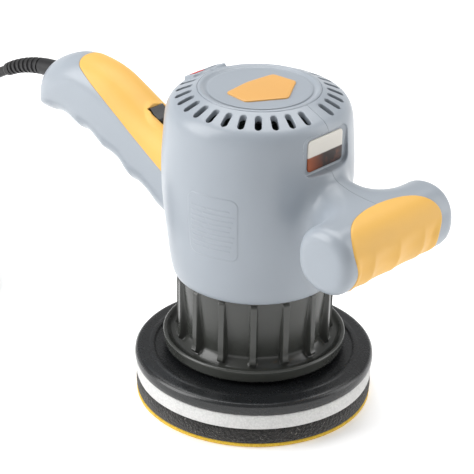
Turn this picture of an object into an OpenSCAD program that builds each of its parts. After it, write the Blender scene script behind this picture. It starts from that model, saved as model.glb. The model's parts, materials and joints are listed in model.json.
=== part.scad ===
// Dual action polisher: upright motor body, rear handle, front T-handle, 150 mm orbiting pad.
// Origin: pad's working face on the motor's axis. +Z up, +X towards the front T-handle.

/* [Pad] */
// Thickness of the yellow buffing face
face_h = 2.4; // [1.5:0.1:5]
// Thickness of the soft dark foam
soft_h = 10.6; // [6:0.2:25]
// Thickness of the firm white foam
firm_h = 9.6; // [6:0.2:20]

/* [Backing plate] */
// Width of the plate's rim beyond the sweep of the collar's flange
plate_rim = 14; // [10:0.5:40]
// Amount by which the foam is smaller than the plate, all round
pad_inset = 1; // [0.5:0.1:3]
// Height of the plate at its rim
plate_h = 9; // [7:0.5:14]
// Depth of the step that runs under the collar
plate_step = 1.4; // [0.6:0.1:2.5]

/* [Orbit] */
// Offset of the pad's axis from the motor's axis
orbit_r = 4; // [2:0.5:6]
// Direction in which the pad has stopped
orbit_angle = -45; // [-180:15:180]

/* [Collar] */
// Width of the dished flange beyond the foot of the drum
flange_w = 13.5; // [11:0.5:20]
// Number of ribs around the drum
rib_count = 15; // [9:1:24]
// Thickness of a rib
rib_w = 4.6; // [2.5:0.1:6]
// Wall of the drum
drum_wall = 2.8; // [2:0.1:3.6]

/* [Body] */
// Largest radius of the barrel
body_r = 59.5; // [57:0.5:72]
// Wall of the barrel
wall = 2.6; // [2:0.1:3.2]
// Height of the barrel from its lower edge to its shoulder
barrel_h = 113; // [108:1:150]
// Wall of the two handles, under the soft grips
handle_wall = 4.8; // [4.2:0.1:6]
// Number of places in the ring of vents
vent_places = 30; // [20:1:36]
// Width of a vent
vent_w = 4.6; // [3:0.1:5.5]

/* [Handles] */
// Length of the front crossbar
bar_len = 103; // [90:1:130]
// Distance of the crossbar's middle from the widest part of the barrel
bar_reach = 36.5; // [34:0.5:60]
// Half width of the rear handle
rear_half_w = 18; // [16:0.25:23]
// Depth of the soft grips below the skin
grip_h = 2; // [1.2:0.1:2.6]

/* [Motor] */
// Outer radius of the stator
stator_r = 40; // [38:0.5:42]
// Radius of the armature
armature_r = 22.3; // [18:0.1:25]
// Air gap around the armature
air_gap = 0.7; // [0.4:0.1:1.2]
// Length of the laminated cores
core_len = 38; // [25:1:42]
// Radius of the shaft where the bearings and the hub sit
shaft_r = 6; // [5:0.1:7]
// Radial clearance of a running fit
run_gap = 0.04; // [0.02:0.01:0.08]

/* [Cord] */
// Diameter of the mains cord
cord_d = 7; // [6:0.1:8]

/* [Hidden] */
$fn = 64;

// Heights of the pad stack
soft_z = face_h;
firm_z = soft_z + soft_h;
plate_z = firm_z + firm_h;
plate_top = plate_z + plate_h;

// Collar: flange, drum and deck
flange_z = plate_top + 1.2;
flange_h = 8.4;
lip_z = flange_z + flange_h;
drum_z = lip_z + 1;
barrel_foot_r = body_r - 8;
drum_top_r = barrel_foot_r - 3;
drum_base_r = drum_top_r - 4;
flange_r = drum_base_r + flange_w;
plate_d = 2 * (flange_r + orbit_r + plate_rim);
pad_d = plate_d - 2 * pad_inset;
barrel_z = drum_z + 42.3;
deck_h = 8;
deck_z = barrel_z - deck_h - 0.5;
spigot_h = 7;
collar_gap = 0.4;

// Barrel: lower edge, shoulder and top
shoulder_z = barrel_z + barrel_h;
crown_z = shoulder_z + 8.8;
cone_z = shoulder_z + 5.6;
cover_r = body_r - 21.8;
cover_gap = 0.3;
cover_z = crown_z - 7;
vent_in_r = cover_r + 5;
vent_out_r = body_r - 10.5;

// Motor stack
core_z = barrel_z + 27.5;
comm_z = core_z + core_len + 12;
comm_r = 11;
comm_h = 13;
bracket_z = comm_z + comm_h + 2;
bracket_h = 3;
bracket_r = body_r - 10;
brush_z = comm_z + comm_h / 2;
brush_len = 24;
brush_top = brush_z + 5.5;
fan_z = deck_z + deck_h + 9;
fan_h = 10;
fan_r = 38;
low_bearing = [shaft_r, shaft_r + 8, deck_h];
top_bearing = [4, 11, 7];
shaft_top = bracket_z + bracket_h + top_bearing[2] + 3;

// Eccentric, counterweight and pad spindle
orbit_xy = [orbit_r * cos(orbit_angle), orbit_r * sin(orbit_angle), 0];
pad_bearing = [7.5, 16, 9];
spindle_z = plate_top + 5.5;
hub_z = spindle_z + 5;
bearing_gap = 0.4;
bore_h = 2 * pad_bearing[2] + bearing_gap;
bolt_head = [4.6, 2.6];
bolt_r = 2.4;
bolt_len = 11;
hub_h = bore_h + bolt_head[1] + 2.2;
hub_top = hub_z + hub_h;
neck_h = deck_z - hub_top - 1;
stud_r = 4;

// Rear handle: distance behind the barrel's widest part, lowest and highest z above the
// barrel's foot, and share of the half width, at each station
REAR = [
    [-13.5, 12.5, 71.5, 1.14], [0.5, 13.5, 72.5, 1.1], [14.5, 18, 75.5, 1.05], [26.5, 24.5, 80, 1.02],
    [38.5, 29.5, 85.5, 1], [50.5, 35, 91, 1], [62.5, 40.5, 95.5, 1.01], [74.5, 45.5, 98.5, 1.03],
    [86.5, 49.5, 99.8, 1.04], [98.5, 53, 99.5, 1.03], [108.5, 54.5, 96.5, 0.97],
    [117.5, 54.5, 91, 0.86], [124.5, 55.5, 85, 0.7], [130.5, 62.5, 81.5, 0.42]
];

// Front neck: distance in front of the barrel's widest part, half width, lowest and highest z
bar_x = body_r + bar_reach;
neck_z = barrel_z + 55.5;
NECK = [
    [-15.5, 20, -29, 27], [-1.5, 20.5, -27, 26], [8.5, 21.5, -25, 23], [18.5, 25, -22, 21],
    [bar_reach - 6, 32, -18, 18]
];

// Front crossbar: place along its half length, half depth and half height
bar_half = bar_len / 2;
BAR = [
    [-1, 13.5, 15.5], [-0.975, 16.6, 18], [-0.9, 19, 20.2], [-0.6, 19.6, 20.8], [0, 19.6, 20.8],
    [0.6, 19.6, 20.8], [0.9, 19, 20.2], [0.975, 16.6, 18], [1, 13.5, 15.5]
];
bar_z = neck_z;

// Hump behind the crown that carries the speed slider
slider_pos = [-(cover_r + 8), 0, cone_z];
slider_tilt = -24;
hump_half_w = 14.5;
hump_half_l = 5.6;
hump_h = 1.2;
knob = [4.6, 8.6];
knob_gap = 0.35;
knob_rise = 0.3;
slider_travel = 13;

// Rocker switch, on the sloping root of the rear handle
switch_pos = [-(body_r + 20.5), 0, barrel_z + 75.9];
switch_tilt = 22;
rocker_len = 20;
rocker_w = 11.4;
rocker_off = -8;
switch_gap = 0.6;
switch_pivot = [0, 0, -5];
pivot_r = 1.4;

// Flat pocket for the label, at the front of the barrel
label_x = body_r - 6.5;
label_half_w = 15.5;
label_h = 20.4;
label_z = shoulder_z - 15.8;
label_t = 0.8;

// Screws that join the two halves: x and z
SCREWS = [
    [-(body_r + 110.5), barrel_z + 75.5], [-(body_r + 56.5), barrel_z + 64.5],
    [-(body_r - 12), barrel_z + 83.5], [-(body_r - 12), barrel_z + 16.5],
    [body_r - 12, barrel_z + 16.5], [body_r - 12, barrel_z + 81.5], [body_r + 12.5, neck_z]
];
screw_r = 1.75;
screw_head_r = 3.2;
boss_r = 3.9;
head_y = 9;

// Screws that hold the collar's deck under the barrel
collar_screw_r = 1.8;
collar_screw_pcd = 62;

// Strain relief: start, length and how far its axis droops
relief_start = [-(body_r + 124.5), 0, barrel_z + 79.3];
relief_len = 52;
relief_droop = [2, 30];
relief_r = [6.2, 4.6];
relief_ribs = 7;

// Mains cord, down to the floor and along to the coil: distance behind the start of the
// strain relief, place across, and share of the drop
cord_r = cord_d / 2;
tie_t = 1;
cord_low = tie_t + cord_r;
CORD_ROUTE = [
    for (p = [
        [66, 0, 0.85], [79, 0, 0.775], [90, 0, 0.675], [98, -1, 0.555], [103.5, -3, 0.435],
        [107.5, -7, 0.316], [110.5, -13, 0.203], [112.8, -22, 0.107], [114.4, -34, 0.038],
        [115.2, -48, 0.005], [115.5, -64, 0]
    ]) [relief_start[0] - p[0], p[1], cord_low + p[2] * (relief_start[2] - cord_low)]
];
// Coil of the length that is left, tied and lying on the floor
coil_c = [relief_start[0] - 70, -64, 0];
coil_r = 38.5;
coil_layers = 3;
tie_w = 9;
coil_half = coil_layers * cord_d / 2;
coil_mid = tie_t + coil_half;
// From the coil's top to the plug, as steps from the coil's centre and height above the floor
plug_len = 38;
plug_w = 26;
plug_t = 18;
PLUG_ROUTE = [
    for (p = [
        [-6.3, -45, 15], [9, -47, 13.8], [22, -49.5, 9.5], [34, -52.5, 6.1], [44, -55.5, 5.1], [50, -57.5, 5.5]
    ]) coil_c + [p[0], p[1], cord_r + p[2]]
];
plug_pos = coil_c + [50, -57.5, plug_t / 2];
plug_dir = 343;

// ---- Shared shapes ----

// Ring or disc of a given section, from its inner and outer radius
module ring(r_in, r_out, z, h) {
    translate([0, 0, z]) difference() {
        cylinder(r = r_out, h = h);
        translate([0, 0, -1]) cylinder(r = r_in, h = h + 2);
    }
}

// Solid disc that starts at a height
module cylinder_at(r, z, h) {
    translate([0, 0, z]) cylinder(r = r, h = h);
}

// Closed tube swept along points, with a radius for each point
function unit(v) = v / norm(v);
function along(p, i) = unit(p[min(i + 1, len(p) - 1)] - p[max(i - 1, 0)]);
function side_of(d) = unit(cross(d, abs(d[2]) > 0.9 ? [0, 1, 0] : [0, 0, 1]));
function ring_of(c, d, r, n) = [
    for (k = [0:n - 1]) c + r * (cos(360 * k / n) * side_of(d) + sin(360 * k / n) * cross(side_of(d), d))
];
module tube(points, radii, sides) {
    count = len(points);
    rings = [for (i = [0:count - 1]) each ring_of(points[i], along(points, i), radii[i], sides)];
    walls = [
        for (i = [0:count - 2]) for (k = [0:sides - 1])
            each [
                [i * sides + k, (i + 1) * sides + k, (i + 1) * sides + (k + 1) % sides],
                [i * sides + k, (i + 1) * sides + (k + 1) % sides, i * sides + (k + 1) % sides]
            ]
    ];
    first = [for (k = [1:sides - 2]) [0, k, k + 1]];
    last_at = (count - 1) * sides;
    last = [for (k = [1:sides - 2]) [last_at, last_at + k + 1, last_at + k]];
    polyhedron(points = rings, faces = concat(walls, first, last));
}

// Smooth points through a route, a few between each pair
function spline(p, i, t) =
    let (a = p[max(i - 1, 0)], b = p[i], c = p[i + 1], d = p[min(i + 2, len(p) - 1)])
    0.5 * (2 * b + (c - a) * t + (2 * a - 5 * b + 4 * c - d) * t * t + (3 * b - a - 3 * c + d) * t * t * t);
function smooth(p, steps) = concat(
    [for (i = [0:len(p) - 2]) for (s = [0:steps - 1]) spline(p, i, s / steps)], [p[len(p) - 1]]);

// Thin slice of a handle: an oval across the X axis
module slice_x(x, half_w, z_low, z_high) {
    translate([x, 0, (z_low + z_high) / 2]) rotate([90, 0, 90])
        linear_extrude(0.05) scale([half_w, (z_high - z_low) / 2]) circle(r = 1, $fn = 32);
}

// Thin slice of the crossbar: an oval across the Y axis
module slice_y(y, half_x, half_z) {
    translate([bar_x, y, bar_z]) rotate([90, 0, 0])
        linear_extrude(0.05) scale([half_x, half_z]) circle(r = 1, $fn = 32);
}

// ---- Outer form of the body, grown or shrunk by g ----

module barrel(g) {
    foot = barrel_foot_r;
    rotate_extrude() polygon([
        [0, barrel_z - min(g, 0)], [foot + g, barrel_z - min(g, 0)],
        [foot + 0.6 + g, barrel_z + 0.07 * barrel_h], [foot + 2.6 + g, barrel_z + 0.15 * barrel_h],
        [foot + 5.2 + g, barrel_z + 0.29 * barrel_h],
        [foot + 7 + g, barrel_z + 0.44 * barrel_h], [foot + 8 + g, barrel_z + 0.6 * barrel_h],
        [foot + 7.6 + g, barrel_z + 0.74 * barrel_h], [foot + 6.6 + g, barrel_z + 0.86 * barrel_h],
        [foot + 5.9 + g, shoulder_z - 6], [foot + 5.3 + g, shoulder_z - 3], [foot + 4 + g, shoulder_z + g / 3],
        [foot + 2 + g, shoulder_z + 1.9 + g / 2], [cover_r + 8, cone_z + g], [cover_r, crown_z + g],
        [0, crown_z + g]
    ]);
}

module rear_slice(s, g) {
    slice_x(-body_r - s[0], rear_half_w * s[3] + g, barrel_z + s[1] - g, barrel_z + s[2] + g);
}

module rear_handle(g) {
    for (i = [0:len(REAR) - 2]) hull() {
        rear_slice(REAR[i], g);
        rear_slice(REAR[i + 1], g);
    }
}

module neck_slice(s, g) {
    slice_x(body_r + s[0], s[1] + g, neck_z + s[2] - g, neck_z + s[3] + g);
}

module neck(g) {
    for (i = [0:len(NECK) - 2]) hull() {
        neck_slice(NECK[i], g);
        neck_slice(NECK[i + 1], g);
    }
}

module crossbar(g) {
    for (i = [0:len(BAR) - 2]) {
        a = BAR[i];
        b = BAR[i + 1];
        hull() {
            slice_y(a[0] * (bar_half + g), a[1] + g, a[2] + g);
            slice_y(b[0] * (bar_half + g), b[1] + g, b[2] + g);
        }
    }
}

module at_slider() {
    translate(slider_pos) rotate([0, slider_tilt, 0]) children();
}

// Hump that carries the speed slider
module hump() {
    at_slider() hull() for (x = [-1, 1]) for (y = [-1, 1])
        translate([x * (hump_half_l - 2.5), y * (hump_half_w - 2.5), -5])
            cylinder(r = 2.5, h = 5 + hump_h, $fn = 16);
}

module body_form() {
    barrel(0);
    rear_handle(0);
    neck(0);
    crossbar(0);
    hump();
}

// Side outline of the rear grip, over the top of the handle
module rear_grip_zone() {
    translate([-body_r, 0, barrel_z]) rotate([90, 0, 0]) linear_extrude(80, center = true) polygon([
        [-97.5, 107.5], [-94.5, 95.5], [-83.5, 89.5], [-67.5, 82.5], [-50.5, 74], [-30.5, 63], [-12.5, 53.5],
        [1.5, 53.5], [1.5, 107.5]
    ]);
}

// Outline of the front grip, around the front of the crossbar
module front_grip_zone() {
    translate([bar_x - 7, 0, bar_z]) rotate([0, 90, 0]) linear_extrude(40)
        scale([1, 1.55]) circle(r = 24, $fn = 40);
}

// ---- Housing ----

module vents() {
    for (k = [0:vent_places - 1]) {
        turn = k * 360 / vent_places;
        if (k != 0 && abs(turn - 180) > 20) rotate([0, 0, turn]) hull() {
            translate([vent_in_r, 0, shoulder_z - 4]) cylinder(r = vent_w / 2, h = 20, $fn = 12);
            translate([vent_out_r, 0, shoulder_z - 4]) cylinder(r = vent_w / 2, h = 20, $fn = 12);
        }
    }
}

module hollow() {
    difference() {
        union() {
            difference() {
                barrel(-wall);
                translate([label_x - wall, -label_half_w - 8, label_z - label_h / 2 - 6])
                    cube([20, 2 * label_half_w + 16, label_h + 12]);
            }
            translate([0, 0, barrel_z - 1]) cylinder(r = barrel_foot_r - wall, h = 10);
            difference() {
                rear_handle(-handle_wall);
                translate([-body_r - 170, -40, 0]) cube([43.5, 80, 300]);
            }
            intersection() {
                neck(-handle_wall);
                translate([0, -40, 0]) cube([bar_x, 80, 300]);
            }
            crossbar(-handle_wall);
        }
        // ribs that carry the stator and the ledge under the motor bracket
        for (a = [30, 60, 120, 150, 210, 240, 300, 330]) rotate([0, 0, a])
            translate([stator_r + 0.2, -1.2, core_z]) cube([body_r - stator_r, 2.4, core_len - 4]);
        ring(bracket_r - 3.5, bracket_r + 12, bracket_z - 3.2, 3.2);
        for (s = SCREWS) translate([s[0], 0, s[1]]) rotate([90, 0, 0])
            cylinder(r = boss_r, h = 90, center = true, $fn = 20);
    }
}

module screw_holes() {
    for (s = SCREWS) translate([s[0], 0, s[1]]) {
        rotate([90, 0, 0]) cylinder(r = screw_r + 0.15, h = 26, center = true, $fn = 14);
        rotate([-90, 0, 0]) translate([0, 0, head_y]) cylinder(r = screw_head_r + 0.3, h = 60, $fn = 18);
    }
}

module housing() {
    difference() {
        body_form();
        hollow();
        vents();
        screw_holes();
        // opening for the top cover, and the room for its rim
        translate([0, 0, cover_z]) cylinder(r = cover_r + cover_gap, h = 30);
        // soft grips, let into the skin
        intersection() {
            rear_grip_zone();
            difference() {
                rear_handle(4);
                rear_handle(-grip_h);
            }
            translate([-body_r - 150, -60, 0]) cube([151.5, 120, 300]);
        }
        intersection() {
            front_grip_zone();
            difference() {
                crossbar(4);
                crossbar(-grip_h);
            }
        }
        // flat pocket for the label
        translate([label_x, -label_half_w - 3.5, label_z - label_h / 2 - 1.5])
            cube([20, 2 * label_half_w + 7, label_h + 4]);
        // slider slot, switch window and the hole for the strain relief
        at_slider() cube([knob[0] + 2 * knob_gap, knob[1] + slider_travel + 2 * knob_gap, 30], center = true);
        translate(switch_pos) rotate([0, switch_tilt, 0])
            cube([rocker_len + 8.4, rocker_w + 6.4, 40], center = true);
        translate(relief_start) rotate([0, -90, 0])
            translate([0, 0, -10]) cylinder(r = relief_r[0] + 0.2, h = 30, $fn = 24);
    }
}

module half(side) {
    intersection() {
        housing();
        translate([-300, side > 0 ? 0 : -200, 0]) cube([600, 200, 300]);
    }
}

module housing_right() {
    color("lightsteelblue") half(-1);
}

module housing_left() {
    color("lightsteelblue") half(1);
}

module housing_screws() {
    color("dimgray") for (s = SCREWS) translate([s[0], 0, s[1]]) rotate([-90, 0, 0]) {
        translate([0, 0, -11]) cylinder(r = screw_r, h = 11.5 + head_y);
        difference() {
            translate([0, 0, head_y]) cylinder(r = screw_head_r, h = 2.4);
            translate([0, 0, head_y + 1]) cylinder(r = 1.4, h = 3, $fn = 6);
        }
    }
}

module top_cover() {
    color("lightsteelblue") rotate_extrude() polygon([
        [0, cover_z], [cover_r, cover_z], [cover_r, crown_z], [cover_r - 0.6, crown_z + 0.3],
        [cover_r - 3.2, crown_z + 0.3], [cover_r - 4, crown_z - 0.9], [cover_r - 6, crown_z - 1.2],
        [cover_r - 7, crown_z - 0.6], [0, crown_z - 0.6]
    ]);
}

module top_emblem() {
    color("sandybrown") translate([0, 0, crown_z - 0.6]) linear_extrude(0.9) polygon([
        [24, 0], [22, 2.8], [10, 22.5], [8, 23.2], [-7, 21.5], [-8.6, 20], [-10.5, 0],
        [-8.6, -20], [-7, -21.5], [8, -23.2], [10, -22.5], [22, -2.8]
    ]);
}

module label_plate() {
    color("linen") translate([label_x, -label_half_w, label_z - label_h / 2])
        cube([label_t, 2 * label_half_w, label_h]);
}

module rear_grip() {
    color("goldenrod") difference() {
        intersection() {
            rear_grip_zone();
            difference() {
                rear_handle(0.4);
                rear_handle(-grip_h + 0.02);
            }
            translate([-body_r - 150, -60, 0]) cube([148.8, 120, 300]);
        }
        translate(switch_pos) rotate([0, switch_tilt, 0])
            cube([rocker_len + 8.4, rocker_w + 6.4, 40], center = true);
    }
}

module front_grip() {
    color("goldenrod") intersection() {
        front_grip_zone();
        difference() {
            crossbar(0.4);
            crossbar(-grip_h + 0.02);
        }
    }
}

// ---- Switch and speed slider ----

module rocker_switch() {
    color("black") translate(switch_pos) rotate([0, switch_tilt, 0]) translate(switch_pivot)
        rotate([0, rocker_off, 0]) {
            rotate([90, 0, 0]) translate([0, 0, -rocker_w / 2]) linear_extrude(rocker_w) polygon([
                [-rocker_len / 2 + 1, 1], [-rocker_len / 2, 8.6], [-rocker_len / 2 + 1.2, 9.2],
                [-5, 6.6], [0, 6], [5, 6.6], [rocker_len / 2 - 1.2, 9.2], [rocker_len / 2, 8.6],
                [rocker_len / 2 - 1, 1], [3, -1.6], [-3, -1.6]
            ]);
            rotate([90, 0, 0]) translate([0, 0, -rocker_w / 2 - pivot_r])
                cylinder(r = pivot_r, h = rocker_w + 2 * pivot_r);
        }
}

module switch_body() {
    color([0.12, 0.12, 0.13]) translate(switch_pos) rotate([0, switch_tilt, 0]) difference() {
        translate([-rocker_len / 2 - 3.6, -rocker_w / 2 - 2.8, -18])
            cube([rocker_len + 7.2, rocker_w + 5.6, 18.6]);
        translate([-rocker_len / 2 - 1.4, -rocker_w / 2 - switch_gap, -12])
            cube([rocker_len + 2.8, rocker_w + 2 * switch_gap, 20]);
        translate(switch_pivot) rotate([90, 0, 0]) translate([0, 0, -rocker_w / 2 - pivot_r - 0.2])
            cylinder(r = pivot_r + run_gap, h = rocker_w + 2 * pivot_r + 0.4);
    }
}

module speed_slider() {
    color("firebrick") at_slider() translate([0, -slider_travel / 2, 0]) difference() {
        translate([-knob[0] / 2, -knob[1] / 2, -7]) cube([knob[0], knob[1], 7 + hump_h + knob_rise]);
        for (k = [-2:2]) translate([-knob[0], 1.5 * k, hump_h + knob_rise + 0.3]) rotate([0, 90, 0])
            cylinder(r = 0.55, h = 2 * knob[0], $fn = 16);
    }
}

module slider_switch() {
    long = knob[1] + slider_travel + 2 * knob_gap;
    color("seagreen") at_slider() difference() {
        translate([-4.5, -long / 2 - 2, -13]) cube([9, long + 4, 8.6]);
        translate([-knob[0] / 2 - knob_gap, -long / 2, -8]) cube([knob[0] + 2 * knob_gap, long, 10]);
    }
}

// ---- Collar and bearings ----

module collar_screw_places() {
    for (a = [30, 150, 210, 330]) rotate([0, 0, a]) translate([collar_screw_pcd / 2, 0, 0]) children();
}

module drive_collar() {
    color([0.17, 0.17, 0.17]) difference() {
        union() {
            rotate_extrude() polygon([
                [drum_base_r - drum_wall, lip_z - 3], [drum_base_r - drum_wall, drum_z + 2],
                [drum_top_r - drum_wall, deck_z - 2], [drum_top_r - drum_wall, deck_z],
                [low_bearing[1], deck_z], [low_bearing[1], deck_z + deck_h],
                [low_bearing[1] + 4, deck_z + deck_h], [low_bearing[1] + 4, deck_z + 3],
                [drum_top_r - drum_wall, deck_z + 3], [drum_top_r - drum_wall, barrel_z + spigot_h],
                [barrel_foot_r - wall - collar_gap, barrel_z + spigot_h],
                [barrel_foot_r - wall - collar_gap, barrel_z - collar_gap],
                [drum_top_r, barrel_z - collar_gap], [drum_base_r, drum_z + 1], [drum_base_r + 3, drum_z - 1.2],
                [flange_r - 4.4, lip_z - 3.4], [flange_r - 2.6, lip_z - 0.6], [flange_r - 1.6, lip_z],
                [flange_r - 0.4, lip_z - 0.3], [flange_r, lip_z - 1.2], [flange_r - 0.6, lip_z - 4],
                [flange_r - 1.8, flange_z], [flange_r - 5, flange_z], [flange_r - 7, lip_z - 5.5]
            ]);
            for (k = [0:rib_count - 1]) rotate([0, 0, 360 * k / rib_count]) rotate([90, 0, 0])
                translate([0, 0, -rib_w / 2]) linear_extrude(rib_w) polygon([
                    [drum_base_r - 1, drum_z - 1.6], [drum_base_r + 3.6, drum_z - 1.2],
                    [drum_base_r + 4.8, drum_z + 1.6], [drum_top_r + 1.4, barrel_z - 3],
                    [drum_top_r - 1, barrel_z - 1.4]
                ]);
        }
        collar_screw_places() translate([0, 0, deck_z - 1]) cylinder(r = collar_screw_r + 0.2, h = 6);
    }
}

module collar_screws() {
    color("silver") collar_screw_places() {
        translate([0, 0, deck_z - 2.6]) cylinder(r = 3.2, h = 2.6);
        translate([0, 0, deck_z - 0.5]) cylinder(r = collar_screw_r, h = 12);
    }
}

module bearing(size, z, inner_gap) {
    translate([0, 0, z]) difference() {
        cylinder(r = size[1], h = size[2]);
        translate([0, 0, -1]) cylinder(r = size[0] + inner_gap, h = size[2] + 2);
        for (end = [-0.1, size[2] - 0.5]) translate([0, 0, end]) difference() {
            cylinder(r = size[1] - 1.6, h = 0.6);
            cylinder(r = size[0] + 1.6, h = 0.6);
        }
    }
}

module motor_bracket() {
    hub_r = top_bearing[1] + 4;
    color("darkslategray") {
        ring(top_bearing[1] - 1.5, hub_r, bracket_z, bracket_h);
        ring(top_bearing[1], hub_r, bracket_z + bracket_h, top_bearing[2]);
        ring(bracket_r - 6, bracket_r, bracket_z, bracket_h);
        for (a = [0:45:315]) rotate([0, 0, a])
            translate([hub_r - 2, -4, bracket_z]) cube([bracket_r - hub_r - 1, 8, bracket_h]);
        // feet that carry the brush holders
        for (a = [90, 270]) rotate([0, 0, a]) translate([hub_r, -4, brush_top])
            cube([brush_len - 4, 8, bracket_z + 1 - brush_top]);
    }
}

module upper_bearing() {
    color("silver") bearing(top_bearing, bracket_z + bracket_h, run_gap);
}

module lower_bearing() {
    color("silver") bearing(low_bearing, deck_z, run_gap);
}

// ---- Motor ----

module stator_core() {
    color("slategray") difference() {
        cylinder_at(stator_r, core_z, core_len);
        translate([0, 0, core_z - 1]) cylinder(r = armature_r + air_gap, h = core_len + 2);
        for (a = [0, 180]) rotate([0, 0, a]) {
            translate([armature_r + 1.5, -13, core_z - 1]) cube([9, 26, core_len + 2]);
            translate([stator_r - 1.6, -30, core_z - 1]) cube([10, 60, core_len + 2]);
        }
    }
}

module field_coils() {
    color("peru") for (a = [0, 180]) rotate([0, 0, a])
        translate([armature_r + 2, -12.4, core_z - 5]) cube([8, 24.8, core_len + 10]);
}

module armature_shaft() {
    color("silver") difference() {
        union() {
            cylinder_at(shaft_r, hub_top + 1, fan_z + fan_h - hub_top);
            cylinder_at(shaft_r - 1, fan_z + fan_h, bracket_z - fan_z - fan_h);
            cylinder_at(top_bearing[0], bracket_z, shaft_top - bracket_z);
        }
        cylinder_at(bolt_r + 0.05, hub_top, bolt_len);
    }
}

module armature_core() {
    color("slategray") difference() {
        ring(shaft_r - 1 + run_gap, armature_r, core_z, core_len);
        for (k = [0:11]) rotate([0, 0, 30 * k]) {
            translate([armature_r - 4, 0, core_z - 1]) cylinder(r = 2.2, h = core_len + 2);
            translate([armature_r - 3, -0.8, core_z - 1]) cube([5, 1.6, core_len + 2]);
        }
    }
}

module armature_windings() {
    color("peru") for (end = [[core_z - 7, 7], [core_z + core_len, 8]])
        ring(shaft_r - 1 + run_gap, armature_r - 3, end[0], end[1]);
}

module commutator() {
    color("orange") difference() {
        ring(shaft_r - 1 + run_gap, comm_r, comm_z, comm_h);
        for (k = [0:11]) rotate([0, 0, 30 * k])
            translate([comm_r - 1, -0.3, comm_z - 1]) cube([3, 0.6, comm_h + 2]);
    }
}

module brush_places() {
    for (a = [90, 270]) rotate([0, 0, a]) translate([comm_r + 0.3, 0, brush_z]) children();
}

module brush_holders() {
    color("goldenrod") brush_places() difference() {
        translate([2, -4.5, brush_z - brush_top]) cube([brush_len, 9, 2 * (brush_top - brush_z)]);
        translate([1, -3.1, -4.1]) cube([brush_len - 0.5, 6.2, 8.2]);
    }
}

module carbon_brushes() {
    color([0.2, 0.2, 0.2]) brush_places() translate([0, -3, -4]) cube([12, 6, 8]);
}

module brush_springs() {
    turns = 3;
    steps = 8;
    color("silver") brush_places() tube([
        for (i = [0:turns * steps])
            [12.4 + 11.4 * i / (turns * steps), 2.2 * cos(360 * i / steps), 2.2 * sin(360 * i / steps)]
    ], [for (i = [0:turns * steps]) 0.35], 6);
}

module cooling_fan() {
    color("darkorange") {
        ring(shaft_r + run_gap, 12, fan_z, fan_h);
        ring(11, fan_r, fan_z + fan_h - 1.6, 1.6);
        for (k = [0:14]) rotate([0, 0, 24 * k])
            translate([13, -0.8, fan_z]) cube([fan_r - 14, 1.6, fan_h - 1]);
    }
}

// ---- Orbit drive ----

module eccentric_hub() {
    color("gray") difference() {
        union() {
            translate(orbit_xy) cylinder_at(pad_bearing[1] + 3, hub_z, hub_h);
            cylinder_at(shaft_r + 5, hub_top - 0.5, neck_h + 0.5);
            translate([0, 0, hub_top - 3]) cylinder(r = shaft_r + 8, h = 3);
        }
        translate(orbit_xy) cylinder_at(pad_bearing[1] + run_gap, hub_z - 1, bore_h + 1);
        cylinder_at(shaft_r + run_gap, hub_top + 1, neck_h);
        // room for the bolt that holds the hub on the shaft
        cylinder_at(bolt_head[0] + 0.2, hub_z + bore_h - 0.1, bolt_head[1] + 0.1);
        cylinder_at(bolt_r + 0.2, hub_z + bore_h, hub_h);
    }
}

module counterweight() {
    color("dimgray") difference() {
        rotate([0, 0, orbit_angle + 180]) rotate([0, 0, -70]) rotate_extrude(angle = 140)
            translate([22, hub_z + 4]) square([16, hub_h - 4]);
        translate(orbit_xy) translate([0, 0, hub_z]) cylinder(r = pad_bearing[1] + 3, h = hub_h + 2);
    }
}

module hub_bolt() {
    color("silver") {
        cylinder_at(bolt_r, hub_z + bore_h + bolt_head[1] - 0.1, bolt_len);
        difference() {
            cylinder_at(bolt_head[0], hub_z + bore_h, bolt_head[1]);
            translate([0, 0, hub_z + bore_h - 1]) cylinder(r = 2, h = 2.6, $fn = 6);
        }
    }
}

module pad_bearings() {
    color("silver") translate(orbit_xy) {
        bearing(pad_bearing, hub_z, run_gap);
        bearing(pad_bearing, hub_z + pad_bearing[2] + bearing_gap, run_gap);
    }
}

module pad_spindle() {
    color("silver") translate(orbit_xy) difference() {
        union() {
            cylinder_at(pad_bearing[0], spindle_z, hub_z + 2 * pad_bearing[2] - spindle_z - 0.5);
            cylinder_at(pad_bearing[0] + 2.5, spindle_z, hub_z - spindle_z - 0.4);
        }
        translate([0, 0, spindle_z - 1]) cylinder(r = stud_r, h = 15);
    }
}

module plate_stud() {
    color("silver") translate(orbit_xy) {
        cylinder_at(9, plate_z + 2, 3);
        cylinder_at(stud_r, plate_z + 5, spindle_z + 12 - plate_z - 5);
    }
}

// ---- Backing plate and pad ----

module backing_plate() {
    r = plate_d / 2;
    color([0.1, 0.1, 0.1]) translate(orbit_xy) difference() {
        rotate_extrude() polygon([
            [stud_r, plate_z], [r - 2.2, plate_z], [r - 0.6, plate_z + 2], [r, plate_z + 4.5],
            [r - 0.5, plate_top - 2.2], [r - 2.2, plate_top - 0.9], [r - 4.5, plate_top - 0.6],
            [flange_r + orbit_r + 2, plate_top], [flange_r + orbit_r + 1, plate_top - plate_step],
            [18, plate_top - plate_step], [15, spindle_z - 0.2], [stud_r, spindle_z - 0.2]
        ]);
        translate([0, 0, plate_z - 1]) cylinder(r = 9, h = 6);
    }
}

module pad_layer(z, h, d) {
    translate(orbit_xy) cylinder_at(d / 2, z, h);
}

module firm_foam() {
    color("whitesmoke") pad_layer(firm_z, firm_h, pad_d);
}

module soft_foam() {
    color([0.2, 0.2, 0.19]) pad_layer(soft_z, soft_h, pad_d - 1);
}

module buffing_face() {
    color("gold") pad_layer(0, face_h, pad_d - 2);
}

// ---- Cord ----

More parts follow.
